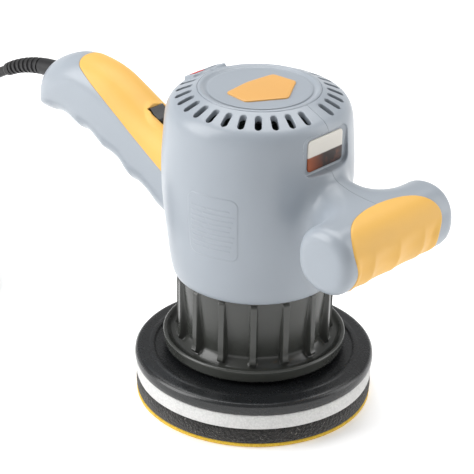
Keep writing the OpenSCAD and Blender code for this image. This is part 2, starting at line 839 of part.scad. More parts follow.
function droop(s) = relief_droop[0] + (relief_droop[1] - relief_droop[0]) * s / relief_len;
function relief_at(n, step) = n == 0 ? relief_start
    : relief_at(n - 1, step) + step * [-cos(droop((n - 0.5) * step)), 0, -sin(droop((n - 0.5) * step))];
relief_steps = 42;
relief_step = relief_len / relief_steps;
relief_end = relief_at(relief_steps, relief_step);
function relief_radius(i) =
    let (t = i / relief_steps)
    relief_r[0] + (relief_r[1] - relief_r[0]) * t
        - (t > 0.3 && t < 0.86 && floor((t - 0.3) / 0.56 * relief_ribs * 2) % 2 == 1 ? 0.9 : 0);

module strain_relief() {
    color([0.1, 0.1, 0.1]) tube(
        [for (i = [0:relief_steps]) relief_at(i, relief_step)],
        [for (i = [0:relief_steps]) relief_radius(i)], 14);
}

module cord_tube(route) {
    path = smooth(route, 3);
    tube(path, [for (p = path) cord_d / 2], 10);
}

module power_cord() {
    color([0.08, 0.08, 0.08]) cord_tube(concat([relief_end], CORD_ROUTE));
}

module plug_lead() {
    color([0.08, 0.08, 0.08]) cord_tube(PLUG_ROUTE);
}

module cord_coil() {
    color([0.08, 0.08, 0.08]) translate(coil_c) rotate_extrude() {
        translate([coil_r - coil_half + 2, tie_t]) square([2 * coil_half - 4, 2 * coil_half]);
        translate([coil_r - coil_half, tie_t + 2]) square([2 * coil_half, 2 * coil_half - 4]);
        for (x = [-1, 1]) for (z = [-1, 1])
            translate([coil_r + x * (coil_half - 2), coil_mid + z * (coil_half - 2)]) circle(r = 2, $fn = 24);
    }
}

module cord_tie() {
    color("dimgray") translate(coil_c) rotate([0, 0, 300]) translate([coil_r, 0, coil_mid])
        difference() {
            cube([2 * coil_half + 2 * tie_t, tie_w, 2 * coil_half + 2 * tie_t], center = true);
            cube([2 * coil_half, tie_w + 1, 2 * coil_half], center = true);
        }
}

module plug_body() {
    color([0.1, 0.1, 0.1]) translate(plug_pos) rotate([0, 0, plug_dir]) {
        rotate([0, 90, 0]) cylinder(r1 = 5, r2 = 6.5, h = 10);
        intersection() {
            translate([8, 0, -plug_t / 2]) linear_extrude(plug_t) plug_outline(plug_w);
            translate([8, plug_w, 0]) rotate([90, 0, 0]) linear_extrude(2 * plug_w) plug_outline(plug_t);
        }
    }
}

// Outline of the plug's body, narrow at the cord and wide at the blades
module plug_outline(w) {
    long = plug_len - 8;
    for (y = [-1, 1]) {
        translate([2, y * (w / 2 - 5)]) circle(r = 2);
        translate([long - 3, y * (w / 2 - 3)]) circle(r = 3);
    }
    polygon([
        [0, -w / 2 + 5], [2, -w / 2 + 3], [8, -w / 2], [long - 3, -w / 2], [long, -w / 2 + 3],
        [long, w / 2 - 3], [long - 3, w / 2], [8, w / 2], [2, w / 2 - 3], [0, w / 2 - 5]
    ]);
}

module plug_blades() {
    color("silver") translate(plug_pos) rotate([0, 0, plug_dir]) for (y = [-1, 1])
        translate([plug_len, y * 6.35 - 0.75, -3.175]) cube([17, 1.5, 6.35]);
}

housing_right();
housing_left();
housing_screws();
top_cover();
top_emblem();
label_plate();
rear_grip();
front_grip();
rocker_switch();
switch_body();
speed_slider();
slider_switch();
drive_collar();
collar_screws();
motor_bracket();
upper_bearing();
lower_bearing();
stator_core();
field_coils();
armature_shaft();
armature_core();
armature_windings();
commutator();
brush_holders();
carbon_brushes();
brush_springs();
cooling_fan();
eccentric_hub();
counterweight();
hub_bolt();
pad_bearings();
pad_spindle();
plate_stud();
backing_plate();
firm_foam();
soft_foam();
buffing_face();
strain_relief();
power_cord();
cord_coil();
plug_lead();
cord_tie();
plug_body();
plug_blades();
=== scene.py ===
import json
import math

import bpy
import numpy as np
from mathutils import Matrix, Vector


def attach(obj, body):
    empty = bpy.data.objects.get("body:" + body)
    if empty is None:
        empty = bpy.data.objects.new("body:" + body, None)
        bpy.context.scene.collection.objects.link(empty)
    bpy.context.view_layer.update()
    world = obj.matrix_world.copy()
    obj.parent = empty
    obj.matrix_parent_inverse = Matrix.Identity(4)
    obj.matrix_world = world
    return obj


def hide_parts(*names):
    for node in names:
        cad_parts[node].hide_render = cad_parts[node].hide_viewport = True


# Shapes are worked out in millimetres and set in metres.
MM = 0.001

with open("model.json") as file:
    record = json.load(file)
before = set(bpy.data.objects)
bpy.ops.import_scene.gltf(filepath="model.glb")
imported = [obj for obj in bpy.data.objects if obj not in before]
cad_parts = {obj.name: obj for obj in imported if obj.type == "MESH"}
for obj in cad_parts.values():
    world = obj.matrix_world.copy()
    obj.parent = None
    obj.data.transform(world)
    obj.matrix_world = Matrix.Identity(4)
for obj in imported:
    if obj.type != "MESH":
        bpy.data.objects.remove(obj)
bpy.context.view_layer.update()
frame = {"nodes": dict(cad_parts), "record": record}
scene = bpy.context.scene
scene.view_settings.view_transform = "Standard"

# ---- Camera, at the photograph's viewing angle ----

CAMERA_AT = Vector((755.8, -830.6, 674)) * MM
CAMERA_LOOKS = Vector((-0.607, 0.653, -0.452)).normalized()
CAMERA_ROLL = math.radians(1.08)


def add_camera():
    data = bpy.data.cameras.new("camera")
    data.lens = 153.0
    data.sensor_width = 36.0
    data.clip_end = 20.0
    cam = bpy.data.objects.new("camera", data)
    scene.collection.objects.link(cam)
    right = CAMERA_LOOKS.cross(Vector((0, 0, 1))).normalized()
    up = right.cross(CAMERA_LOOKS)
    turn = Matrix((right, up, -CAMERA_LOOKS)).transposed().to_4x4()
    cam.matrix_world = Matrix.Translation(CAMERA_AT) @ turn @ Matrix.Rotation(CAMERA_ROLL, 4, "Z")
    scene.camera = cam


add_camera()

# ---- Materials ----


class Nodes:
    """Short calls for building one node material."""

    def __init__(self, name):
        self.material = bpy.data.materials.new(name)
        self.material.use_nodes = True
        self.tree = self.material.node_tree
        self.shader = self.tree.nodes["Principled BSDF"]
        self.where = self.tree.nodes.new("ShaderNodeTexCoord").outputs["Object"]

    def add(self, kind, values=(), links=(), **props):
        node = self.tree.nodes.new(kind)
        for key, value in props.items():
            setattr(node, key, value)
        for key, value in dict(values).items():
            node.inputs[key].default_value = value
        for key, source in dict(links).items():
            self.tree.links.new(source, node.inputs[key])
        return node

    def link(self, source, socket):
        self.tree.links.new(source, self.shader.inputs[socket])

    def set(self, **values):
        for key, value in values.items():
            self.shader.inputs[key.replace("_", " ")].default_value = value

    def noise(self, scale, detail=3.0, rough=0.55, stretch=(1, 1, 1)):
        placed = self.add("ShaderNodeMapping", {"Scale": stretch}, {"Vector": self.where})
        made = self.add(
            "ShaderNodeTexNoise",
            {"Scale": scale, "Detail": detail, "Roughness": rough},
            {"Vector": placed.outputs[0]},
        )
        return made.outputs["Fac"]

    def cells(self, scale, feature="F1"):
        made = self.add(
            "ShaderNodeTexVoronoi", {"Scale": scale}, {"Vector": self.where}, feature=feature
        )
        return made.outputs["Distance"]

    def ramp(self, source, stops):
        made = self.add("ShaderNodeValToRGB", links={"Fac": source})
        ramp = made.color_ramp
        while len(ramp.elements) < len(stops):
            ramp.elements.new(0.5)
        for element, (place, colour) in zip(ramp.elements, stops):
            element.position = place
            element.color = colour if len(colour) == 4 else (*colour, 1)
        return made.outputs["Color"]

    def span(self, source, low_value, high_value):
        made = self.add(
            "ShaderNodeMapRange", {"To Min": low_value, "To Max": high_value}, {"Value": source}
        )
        return made.outputs["Result"]

    def math(self, operation, a, b):
        made = self.add("ShaderNodeMath", operation=operation)
        for socket, value in zip(made.inputs, (a, b)):
            if isinstance(value, (int, float)):
                socket.default_value = value
            else:
                self.tree.links.new(value, socket)
        return made.outputs[0]

    def mix(self, factor, a, b):
        made = self.add("ShaderNodeMix", data_type="RGBA")
        sockets = [made.inputs[0], made.inputs[6], made.inputs[7]]
        for socket, value in zip(sockets, (factor, a, b)):
            if hasattr(value, "is_output"):
                self.tree.links.new(value, socket)
            else:
                socket.default_value = value if isinstance(value, float) else (*value, 1)
        return made.outputs[2]

    def bump(self, heights, distance=0.0002, strength=0.5):
        """heights: a list of (source, share)."""
        total = None
        for source, share in heights:
            part = self.math("MULTIPLY", source, share)
            total = part if total is None else self.math("ADD", total, part)
        made = self.add(
            "ShaderNodeBump", {"Strength": strength, "Distance": distance}, {"Height": total}
        )
        self.link(made.outputs[0], "Normal")


def moulded(name, colour, rough=0.34, spread=0.08, grain=0.00003, specular=0.5, tint=0.04, coat=0.0):
    """Moulded plastic: fine spark-eroded grain, slow colour drift, handling marks in the gloss."""
    m = Nodes(name)
    slow = m.noise(14.0, 2.0)
    fine = m.noise(900.0, 4.0, 0.6)
    scuff = m.noise(60.0, 6.0, 0.7, (1, 1, 3))
    dark = tuple(c * (1 - tint) for c in colour)
    light = tuple(min(1.0, c * (1 + tint)) for c in colour)
    m.link(m.ramp(slow, [(0.35, dark), (0.65, light)]), "Base Color")
    gloss = m.math("ADD", m.math("MULTIPLY", scuff, 0.7), m.math("MULTIPLY", fine, 0.3))
    m.link(m.span(gloss, rough - spread, rough + spread), "Roughness")
    m.bump([(fine, 0.7), (scuff, 0.3)], grain, 0.6)
    m.set(Specular_IOR_Level=specular, Coat_Weight=coat, Coat_Roughness=0.25)
    return m.material


def rubbery(name, colour, rough=0.5, grain=0.00006, scale=1400.0, tint=0.05):
    """Soft-touch overmould: matt, with a fine pebbled skin and slightly polished high spots."""
    m = Nodes(name)
    slow = m.noise(22.0, 3.0)
    pebble = m.cells(scale, "SMOOTH_F1")
    rub = m.noise(45.0, 5.0, 0.65)
    dark = tuple(c * (1 - tint) for c in colour)
    light = tuple(min(1.0, c * (1 + tint)) for c in colour)
    m.link(m.ramp(slow, [(0.3, dark), (0.7, light)]), "Base Color")
    m.link(m.span(rub, rough - 0.09, rough + 0.09), "Roughness")
    m.bump([(pebble, 0.8), (rub, 0.4)], grain, 0.5)
    m.set(Specular_IOR_Level=0.4, Sheen_Weight=0.03, Sheen_Roughness=0.5)
    return m.material


def foam(name, dark, light, scale, depth, rough=0.92, flecks=None):
    """Open or closed cell foam: pores from two sizes of cells, and flecks where the foam has them."""
    m = Nodes(name)
    big = m.cells(scale)
    small = m.cells(scale * 2.7)
    blotch = m.noise(70.0, 4.0, 0.6)
    pores = m.math("ADD", m.math("MULTIPLY", big, 0.6), m.math("MULTIPLY", small, 0.4))
    shade = m.math("ADD", m.math("MULTIPLY", pores, 0.75), m.math("MULTIPLY", blotch, 0.35))
    colour = m.ramp(shade, [(0.25, light), (0.75, dark)])
    if flecks:
        spots = m.ramp(m.noise(620.0, 2.0, 0.5), [(0.66, (0, 0, 0)), (0.72, (1, 1, 1))])
        colour = m.mix(spots, colour, flecks)
    m.link(colour, "Base Color")
    m.link(m.span(blotch, rough - 0.06, rough + 0.06), "Roughness")
    m.bump([(pores, 1.0), (blotch, 0.6)], depth, 0.9)
    m.set(Specular_IOR_Level=0.2, Sheen_Weight=0.25, Sheen_Roughness=0.6)
    return m.material


def metal(name, colour, rough=0.28, stretch=(1, 1, 14)):
    """Machined metal: fine lay of tool marks and small changes of gloss."""
    m = Nodes(name)
    lay = m.noise(500.0, 4.0, 0.6, stretch)
    spots = m.noise(120.0, 3.0)
    dark = tuple(c * 0.86 for c in colour)
    m.link(m.ramp(spots, [(0.35, dark), (0.65, colour)]), "Base Color")
    m.link(m.span(lay, rough - 0.08, rough + 0.1), "Roughness")
    m.bump([(lay, 1.0)], 0.00002, 0.5)
    m.set(Metallic=1.0)
    return m.material


def winding(name, colour):
    """Enamelled wire laid in rows, with painted shade in the grooves between them."""
    m = Nodes(name)
    rows = m.add(
        "ShaderNodeTexWave",
        {"Scale": 320.0, "Distortion": 1.2, "Detail": 2.0},
        {"Vector": m.where},
        bands_direction="Z",
    ).outputs["Fac"]
    # painted shade: the colour falls to about a third of the wire's own where the rows' bump sinks into the
    # grooves
    dark = tuple(c * 0.35 for c in colour)
    m.link(m.ramp(rows, [(0.2, dark), (0.8, colour)]), "Base Color")
    m.link(m.span(m.noise(200.0), 0.2, 0.42), "Roughness")
    m.bump([(rows, 1.0)], 0.0003, 0.7)
    m.set(Metallic=0.85, Coat_Weight=0.4)
    return m.material


def laminated(name, colour):
    """Stack of thin steel sheets, with painted shade in the grooves between them."""
    m = Nodes(name)
    sheets = m.add(
        "ShaderNodeTexWave", {"Scale": 620.0, "Distortion": 0.3}, {"Vector": m.where}, bands_direction="Z"
    ).outputs["Fac"]
    stain = m.noise(60.0, 5.0)
    # painted shade: the colour halves where the sheets' bump sinks into the grooves; the stain noise adds
    # uneven tone
    dark = tuple(c * 0.5 for c in colour)
    shade = m.math("ADD", m.math("MULTIPLY", sheets, 0.6), m.math("MULTIPLY", stain, 0.4))
    m.link(m.ramp(shade, [(0.25, dark), (0.75, colour)]), "Base Color")
    m.link(m.span(stain, 0.35, 0.6), "Roughness")
    m.bump([(sheets, 1.0)], 0.00015, 0.7)
    m.set(Metallic=0.9)
    return m.material


def printed(name, pale, dark, warm, split):
    """Printed film: a pale upper band, and a dark lower band that turns warm at one end."""
    m = Nodes(name)
    place = m.add("ShaderNodeSeparateXYZ", links={"Vector": m.where}).outputs
    ragged = m.noise(220.0, 3.0)
    height = m.math("ADD", place["Z"], m.math("MULTIPLY", ragged, 0.0004))
    upper = m.ramp(m.add(
        "ShaderNodeMapRange", {"From Min": split - 0.001, "From Max": split + 0.001}, {"Value": height}
    ).outputs["Result"], [(0.35, (0, 0, 0)), (0.65, (1, 1, 1))])
    end = m.ramp(m.add(
        "ShaderNodeMapRange", {"From Min": -0.0155, "From Max": 0.004}, {"Value": place["Y"]}
    ).outputs["Result"], [(0.05, warm), (0.75, dark)])
    blotch = m.noise(160.0, 5.0, 0.7)
    lower = m.mix(m.ramp(blotch, [(0.5, (0, 0, 0)), (0.8, (0.45, 0.45, 0.45))]), end, warm)
    m.link(m.mix(upper, lower, pale), "Base Color")
    m.link(m.span(m.noise(90.0, 4.0), 0.25, 0.42), "Roughness")
    m.bump([(m.noise(700.0, 3.0), 1.0)], 0.00002, 0.4)
    return m.material


BODY_GREY = (0.29, 0.322, 0.36)
GRIP_ORANGE = (0.70, 0.40, 0.085)

paint = {
    "body_plastic": moulded("body_plastic", BODY_GREY, 0.3, 0.025, 0.0000015, 0.55, 0.02),
    "grip_rubber": rubbery("grip_rubber", GRIP_ORANGE, 0.46),
    "emblem_plastic": moulded("emblem_plastic", (0.62, 0.33, 0.09), 0.38, 0.08, 0.00003),
    "label_print": printed(
        "label_print", (0.70, 0.67, 0.61), (0.022, 0.010, 0.006), (0.30, 0.065, 0.012), 0.1812
    ),
    "switch_plastic": moulded("switch_plastic", (0.012, 0.012, 0.013), 0.2, 0.06, 0.00001),
    "slider_plastic": moulded("slider_plastic", (0.52, 0.03, 0.03), 0.35, 0.08, 0.00002),
    "collar_plastic": moulded("collar_plastic", (0.040, 0.042, 0.038), 0.24, 0.05, 0.00005, 0.55, 0.12),
    "plate_plastic": moulded("plate_plastic", (0.010, 0.011, 0.012), 0.27, 0.08, 0.00005, 0.55, 0.12),
    "firm_foam": foam("firm_foam", (0.58, 0.58, 0.57), (0.74, 0.735, 0.72), 700.0, 0.0004),
    "soft_foam": foam(
        "soft_foam", (0.003, 0.003, 0.003), (0.035, 0.032, 0.029), 520.0, 0.0012, 0.95, (0.16, 0.15, 0.135)
    ),
    "face_foam": foam("face_foam", (0.62, 0.38, 0.02), (0.88, 0.60, 0.06), 700.0, 0.0004),
    "cord_rubber": rubbery("cord_rubber", (0.006, 0.006, 0.007), 0.45, 0.00004),
    "inner_plastic": moulded("inner_plastic", (0.05, 0.07, 0.065), 0.45),
    "fan_plastic": moulded("fan_plastic", (0.35, 0.12, 0.03), 0.4),
    "board_plastic": moulded("board_plastic", (0.03, 0.13, 0.05), 0.4),
    "steel": metal("steel", (0.55, 0.55, 0.56)),
    "dark_steel": metal("dark_steel", (0.08, 0.08, 0.085), 0.4),
    "lamination": laminated("lamination", (0.3, 0.3, 0.31)),
    "copper": winding("copper", (0.72, 0.30, 0.13)),
    "carbon": moulded("carbon", (0.02, 0.02, 0.02), 0.6),
    "brass": metal("brass", (0.78, 0.55, 0.22)),
    "diecast": metal("diecast", (0.50, 0.50, 0.51), 0.45, (1, 1, 1)),
    "tie_strap": rubbery("tie_strap", (0.03, 0.03, 0.03), 0.6),
}

for part in frame["record"]["subparts"]:
    look = paint.get(part["material_slot"])
    if look:
        node_mesh = frame["nodes"][part["node"]].data
        node_mesh.materials.clear()
        node_mesh.materials.append(look)

# ---- Meshes from arrays ----


def build(name, points, faces, slot, body, replaces=(), sharp=38.0):
    """A piece from points in millimetres and its triangles or quads, riding on a CAD body."""
    points = np.asarray(points, float) * MM
    mesh = bpy.data.meshes.new(name)
    if isinstance(faces, np.ndarray):
        used, again = np.unique(faces, return_inverse=True)
        faces = again.reshape(faces.shape)
        points = points[used]
        faces = faces.tolist()
    mesh.from_pydata(points.tolist(), [], faces)
    mesh.validate()
    mesh.shade_smooth()
    mesh.set_sharp_from_angle(angle=math.radians(sharp))
    mesh.materials.append(paint[slot])
    piece = bpy.data.objects.new(name, mesh)
    scene.collection.objects.link(piece)
    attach(piece, body)
    if replaces:
        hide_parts(*replaces)
    return piece


def smooth_line(points, steps=8, closed=False):
    """Catmull-Rom points through a route."""
    p = np.asarray(points, float)
    n = len(p)
    spans = n if closed else n - 1
    out = []
    for i in range(spans):
        if closed:
            a, b, c, d = p[i - 1], p[i], p[(i + 1) % n], p[(i + 2) % n]
        else:
            a, b, c, d = p[max(i - 1, 0)], p[i], p[i + 1], p[min(i + 2, n - 1)]
        t = np.linspace(0, 1, steps, endpoint=False)[:, None]
        out.append(
            0.5 * (2 * b + (c - a) * t + (2 * a - 5 * b + 4 * c - d) * t**2 + (3 * b - a - 3 * c + d) * t**3)
        )
    if not closed:
        out.append(p[-1:])
    return np.vstack(out)


def curve_of(pairs, steps=8):
    """A smooth function through (place, value) pairs."""
    line = smooth_line(pairs, steps)
    return lambda v: np.interp(v, line[:, 0], line[:, 1])


def smin(a, b, k):
    h = np.clip(0.5 + 0.5 * (b - a) / k, 0, 1)
    return b + (a - b) * h - k * h * (1 - h)


def smax(a, b, k):
    return -smin(-a, -b, k)


def ease(v, start, end):
    t = np.clip((v - start) / (end - start), 0, 1)
    return t * t * (3 - 2 * t)


def outline_depth(outline, step=0.5, margin=30.0, blur=4):
    """Signed distance to a closed outline as a function of two coordinates, from a fine grid."""
    line = np.asarray(outline, float)
    corner = line.min(0) - margin
    counts = np.ceil((line.max(0) + margin - corner) / step).astype(int) + 1
    u = corner[0] + step * np.arange(counts[0])[:, None]
    v = corner[1] + step * np.arange(counts[1])[None, :]
    best = np.full(counts, 1e9)
    inside = np.zeros(counts, bool)
    for (au, av), (bu, bv) in zip(line, np.roll(line, -1, axis=0)):
        du, dv = bu - au, bv - av
        t = np.clip(((u - au) * du + (v - av) * dv) / (du * du + dv * dv + 1e-12), 0, 1)
        best = np.minimum(best, (u - au - t * du) ** 2 + (v - av - t * dv) ** 2)
        if av != bv:
            inside ^= ((av > v) != (bv > v)) & (u < (v - av) * du / dv + au)
    field = np.where(inside, -np.sqrt(best), np.sqrt(best))
    for _ in range(blur):
        field[1:-1] = (field[:-2] + 2 * field[1:-1] + field[2:]) / 4
        field[:, 1:-1] = (field[:, :-2] + 2 * field[:, 1:-1] + field[:, 2:]) / 4

    def look_up(a, b):
        a = np.clip((a - corner[0]) / step, 0, counts[0] - 1.001)
        b = np.clip((b - corner[1]) / step, 0, counts[1] - 1.001)
        i, j = a.astype(int), b.astype(int)
        a, b = a - i, b - j
        low_side = field[i, j] * (1 - b) + field[i, j + 1] * b
        return low_side * (1 - a) + (field[i + 1, j] * (1 - b) + field[i + 1, j + 1] * b) * a

    return look_up


def nets(f, lowest, highest, step):
    """Surface nets: the mesh of f = 0 inside a box."""
    axes = [np.arange(lowest[i], highest[i] + step, step) for i in range(3)]
    shape = [len(a) for a in axes]
    values = np.empty(shape, np.float32)
    y, z = np.meshgrid(axes[1], axes[2], indexing="ij")
    for i in range(shape[0]):
        values[i] = f(np.full_like(y, axes[0][i]), y, z)
    inside = values < 0
    corners = [(a, b, c) for a in (0, 1) for b in (0, 1) for c in (0, 1)]
    count = np.zeros([n - 1 for n in shape], np.uint8)
    for a, b, c in corners:
        count += inside[a : shape[0] - 1 + a, b : shape[1] - 1 + b, c : shape[2] - 1 + c]
    active = (count > 0) & (count < 8)
    index = np.full(active.shape, -1)
    index[active] = np.arange(active.sum())
    cells = np.argwhere(active)
    total = np.zeros((len(cells), 3))
    crossings = np.zeros(len(cells))
    for a in corners:
        for axis in range(3):
            if a[axis]:
                continue
            b = list(a)
            b[axis] = 1
            va = values[tuple((cells + a).T)]
            vb = values[tuple((cells + b).T)]
            hit = (va < 0) != (vb < 0)
            t = va / np.where(hit, va - vb, 1)
            place = np.array(a, float)[None] + np.zeros((len(cells), 1))
            place[:, axis] += t
            total += place * hit[:, None]
            crossings += hit
    points = np.array(lowest) + step * (cells + total / crossings[:, None])
    quads = []
    for axis in range(3):
        p, q = (axis + 1) % 3, (axis + 2) % 3
        first = np.take(inside, range(shape[axis] - 1), axis)
        second = np.take(inside, range(1, shape[axis]), axis)
        edges = np.argwhere(first != second)
        keep = (edges[:, p] > 0) & (edges[:, q] > 0)
        keep &= (edges[:, p] < shape[p] - 1) & (edges[:, q] < shape[q] - 1)
        edges = edges[keep]
        ring = []
        for dp, dq in ((-1, -1), (0, -1), (0, 0), (-1, 0)):
            cell = edges.copy()
            cell[:, p] += dp
            cell[:, q] += dq
            ring.append(index[tuple(cell.T)])
        quad = np.stack(ring, 1)
        turned = ~first[tuple(edges.T)]
        quad[turned] = quad[turned][:, ::-1]
        quads.append(quad)
    quads = np.vstack(quads)
    flip = np.linalg.norm(points[quads[:, 0]] - points[quads[:, 2]], axis=1) > np.linalg.norm(
        points[quads[:, 1]] - points[quads[:, 3]], axis=1
    )
    one = np.where(flip[:, None], quads[:, [0, 1, 3]], quads[:, [0, 1, 2]])
    two = np.where(flip[:, None], quads[:, [1, 2, 3]], quads[:, [0, 2, 3]])
    return points, np.vstack([one, two])


def gradient(f, p, reach=0.15):
    out = np.empty_like(p)
    for axis in range(3):
        d = np.zeros(3)
        d[axis] = reach
        out[:, axis] = (f(*(p + d).T) - f(*(p - d).T)) / (2 * reach)
    return out


def settle(points, triangles, f, rounds=4):
    """Evens out the mesh and sets its points on f = 0."""
    n = len(points)
    e = np.vstack([triangles[:, [0, 1]], triangles[:, [1, 2]], triangles[:, [2, 0]]])
    number = np.bincount(e.ravel(), minlength=n)
    for turn in range(rounds):
        total = np.empty_like(points)
        for axis in range(3):
            total[:, axis] = np.bincount(e[:, 0], points[e[:, 1], axis], n)
            total[:, axis] += np.bincount(e[:, 1], points[e[:, 0], axis], n)
        points = points + 0.6 * (total / number[:, None] - points)
        for _ in range(2 if turn < rounds - 1 else 4):
            slope = gradient(f, points)
            steep = np.maximum((slope**2).sum(1), 0.05)
            move = slope * (f(*points.T) / steep)[:, None]
            size = np.linalg.norm(move, axis=1, keepdims=True)
            points = points - move * np.minimum(1, 1.0 / np.maximum(size, 1e-9))
    return points


class Shell:
    """A triangle mesh that can be cut along the zero line of any field."""

    def __init__(self, points, triangles):
        self.p = np.asarray(points, float)
        self.t = np.asarray(triangles)
        self.held = np.zeros(len(self.p), bool)

    def copy(self):
        other = Shell(self.p.copy(), self.t.copy())
        other.held = self.held.copy()
        return other

    def edges(self):
        e = np.sort(self.t[:, [[0, 1], [1, 2], [2, 0]]].reshape(-1, 2), axis=1)
        key, first, where = np.unique(
            e[:, 0] * np.int64(len(self.p)) + e[:, 1], return_index=True, return_inverse=True
        )
        return e[first], where.reshape(-1, 3)

    def split(self, e, where, at):
        """Adds a point on each edge whose place in at isn't nan. Returns the first new index."""
        t, n = self.t, len(self.p)
        new = ~np.isnan(at)
        number = np.full(len(e), -1)
        number[new] = n + np.arange(new.sum())
        a, b = self.p[e[new, 0]], self.p[e[new, 1]]
        self.p = np.vstack([self.p, a + (b - a) * at[new, None]])
        self.held = np.concatenate([self.held, np.zeros(new.sum(), bool)])
        m = number[where]
        count = (m >= 0).sum(1)
        out = [t[count == 0]]
        for k in range(3):
            i, j = (k + 1) % 3, (k + 2) % 3
            pick = (count == 1) & (m[:, k] >= 0)
            a, b, c, q = t[pick, k], t[pick, i], t[pick, j], m[pick, k]
            out += [np.stack([a, q, c], 1), np.stack([q, b, c], 1)]
            pick = (count == 2) & (m[:, k] < 0)
            b, c, a = t[pick, k], t[pick, i], t[pick, j]
            on_ab, on_ca = m[pick, j], m[pick, i]
            out += [
                np.stack([a, on_ab, on_ca], 1),
                np.stack([on_ab, b, c], 1),
                np.stack([on_ab, c, on_ca], 1),
            ]
        pick = count == 3
        (a, b, c), (q, r, s) = t[pick].T, m[pick].T
        out += [
            np.stack([a, q, s], 1),
            np.stack([q, b, r], 1),
            np.stack([r, c, s], 1),
            np.stack([q, r, s], 1),
        ]
        self.t = np.vstack(out)
        return n

    def refine(self, field, reach):
        """Halves the edges of the triangles that lie where field is below reach."""
        e, where = self.edges()
        near = (field(*self.p.T) < reach)[self.t].any(1)
        marked = np.zeros(len(e), bool)
        marked[where[near].ravel()] = True
        self.split(e, where, np.where(marked, 0.5, np.nan))

    def cut(self, field, snap=0.22):
        """Puts edges along field = 0. Returns the field at the points, exactly 0 on that line."""
        s = field(*self.p.T)
        s[np.abs(s) < 1e-4] = 0
        e, _ = self.edges()
        sa, sb = s[e[:, 0]], s[e[:, 1]]
        cross = sa * sb < 0
        e, sa, sb = e[cross], sa[cross], sb[cross]
        at = sa / (sa - sb)
        for near, far, t in ((0, 1, at), (1, 0, 1 - at)):
            close = (t < snap) & ~self.held[e[:, near]] & (s[e[:, near]] != 0)
            v, w = e[close, near], e[close, far]
            start = self.p[v].copy()
            self.p[v] = start + (self.p[w] - start) * t[close, None]
            s[v] = 0
        e, where = self.edges()
        sa, sb = s[e[:, 0]], s[e[:, 1]]
        at = np.where(sa * sb < 0, sa / np.where(sa * sb < 0, sa - sb, 1), np.nan)
        first = self.split(e, where, at)
        s = np.concatenate([s, np.zeros(len(self.p) - first)])
        self.held |= s == 0
        return s

    def side(self, s):
        """Whether each triangle lies where s is above 0, after a cut."""
        return s[self.t].sum(1) > 0

    def take(self, keep):
        other = self.copy()
        other.t = self.t[keep]
        return other

    def rim(self, on_line, rings):
        """Grows strips from the open edges whose points are all on_line. Each ring maps the
        edge's own points, and their numbers, to the ring's."""
        e = self.t[:, [[0, 1], [1, 2], [2, 0]]].reshape(-1, 2)
        key = np.sort(e, axis=1)
        key = key[:, 0] * np.int64(len(self.p)) + key[:, 1]
        _, first, number = np.unique(key, return_index=True, return_counts=True)
        e = e[first[number == 1]]
        e = e[on_line[e].all(1)]
        used, local = np.unique(e, return_inverse=True)
        local = local.reshape(-1, 2)
        base = self.p[used]
        previous = used
        for ring in rings:
            n = len(self.p)
            self.p = np.vstack([self.p, ring(base, used)])
            current = n + np.arange(len(used))
            a, b = previous[local[:, 0]], previous[local[:, 1]]
            c, d = current[local[:, 0]], current[local[:, 1]]
            self.t = np.vstack([self.t, np.stack([b, a, c], 1), np.stack([b, c, d], 1)])
            previous = current
        self.held = np.ones(len(self.p), bool)

    def normals(self):
        a, b, c = (self.p[self.t[:, i]] for i in range(3))
        flat = np.cross(b - a, c - a)
        out = np.zeros_like(self.p)
        for axis in range(3):
            for corner in range(3):
                out[:, axis] += np.bincount(self.t[:, corner], flat[:, axis], len(self.p))
        return out / np.maximum(np.linalg.norm(out, axis=1, keepdims=True), 1e-12)

    def mirrored(self):
        other = self.copy()
        other.p[:, 1] *= -1
        other.t = other.t[:, ::-1]
        return other


# ---- Cord: strain relief, drop, coil and plug ----

CORD_D = 7.0
CORD_R = CORD_D / 2
TIE_T = 1.0
RELIEF_FROM = np.array([-184.0, 0.0, 163.8])
RELIEF_LEN = 52.0
RELIEF_DROOP = (2.0, 30.0)
COIL_AT = np.array([-254.0, -64.0, 0.0])
COIL_R = 38.5
# Distance behind the strain relief's start, place across, and share of the drop
DROP = (
    (66, 0, 0.85), (79, 0, 0.775), (90, 0, 0.675), (98, -1, 0.555), (103.5, -3, 0.435), (107.5, -7, 0.316),
    (110.5, -13, 0.203), (112.8, -22, 0.107), (114.4, -34, 0.038), (115.2, -48, 0.005),
)
# Steps from the coil's centre to the plug, and height
LEAD = ((9, -47, 17.3), (22, -49.5, 13), (34, -52.5, 9.6), (44, -55.5, 8.6), (50, -57.5, 9))
PLUG_TURN = math.radians(343)
# Places of the coil's turns: the angle at which each begins, and its steps outward and up, in cord
# diameters. The cord moves to a new place over COIL_STEP degrees.
COIL_STEP = 46
COIL_TURNS = (
    (180, 1, 0), (494, 0, 0), (854, -1, 0), (1168, -1, 1), (1528, -1, 2), (1842, 0, 2), (2156, 0, 1),
    (2470, 1, 1), (2784, 1, 2),
)
COIL_END = 3142


def relief_line(steps=60):
    """Centreline of the strain relief, which droops more towards its end."""
    place, out = RELIEF_FROM.copy(), [RELIEF_FROM.copy()]
    step = RELIEF_LEN / steps
    for k in range(steps):
        angle = math.radians(RELIEF_DROOP[0] + (RELIEF_DROOP[1] - RELIEF_DROOP[0]) * (k + 0.5) / steps)
        place = place + step * np.array([-math.cos(angle), 0, -math.sin(angle)])
        out.append(place.copy())
    return np.array(out)


def coil_line():
    """Turns that lie beside and on each other, each moving to its place before it meets the next."""
    out = []
    for angle in range(COIL_TURNS[0][0], COIL_END + 1, 10):
        beside, above = COIL_TURNS[0][1:]
        for start, new_beside, new_above in COIL_TURNS[1:]:
            share = (1 - math.cos(math.pi * min(max((angle - start) / COIL_STEP, 0), 1))) / 2
            beside += (new_beside - beside) * share
            above += (new_above - above) * share
        r, turn = COIL_R + CORD_D * beside, math.radians(angle)
        z = TIE_T + CORD_R + CORD_D * above
        out.append(COIL_AT + [r * math.cos(turn), r * math.sin(turn), z])
    return out


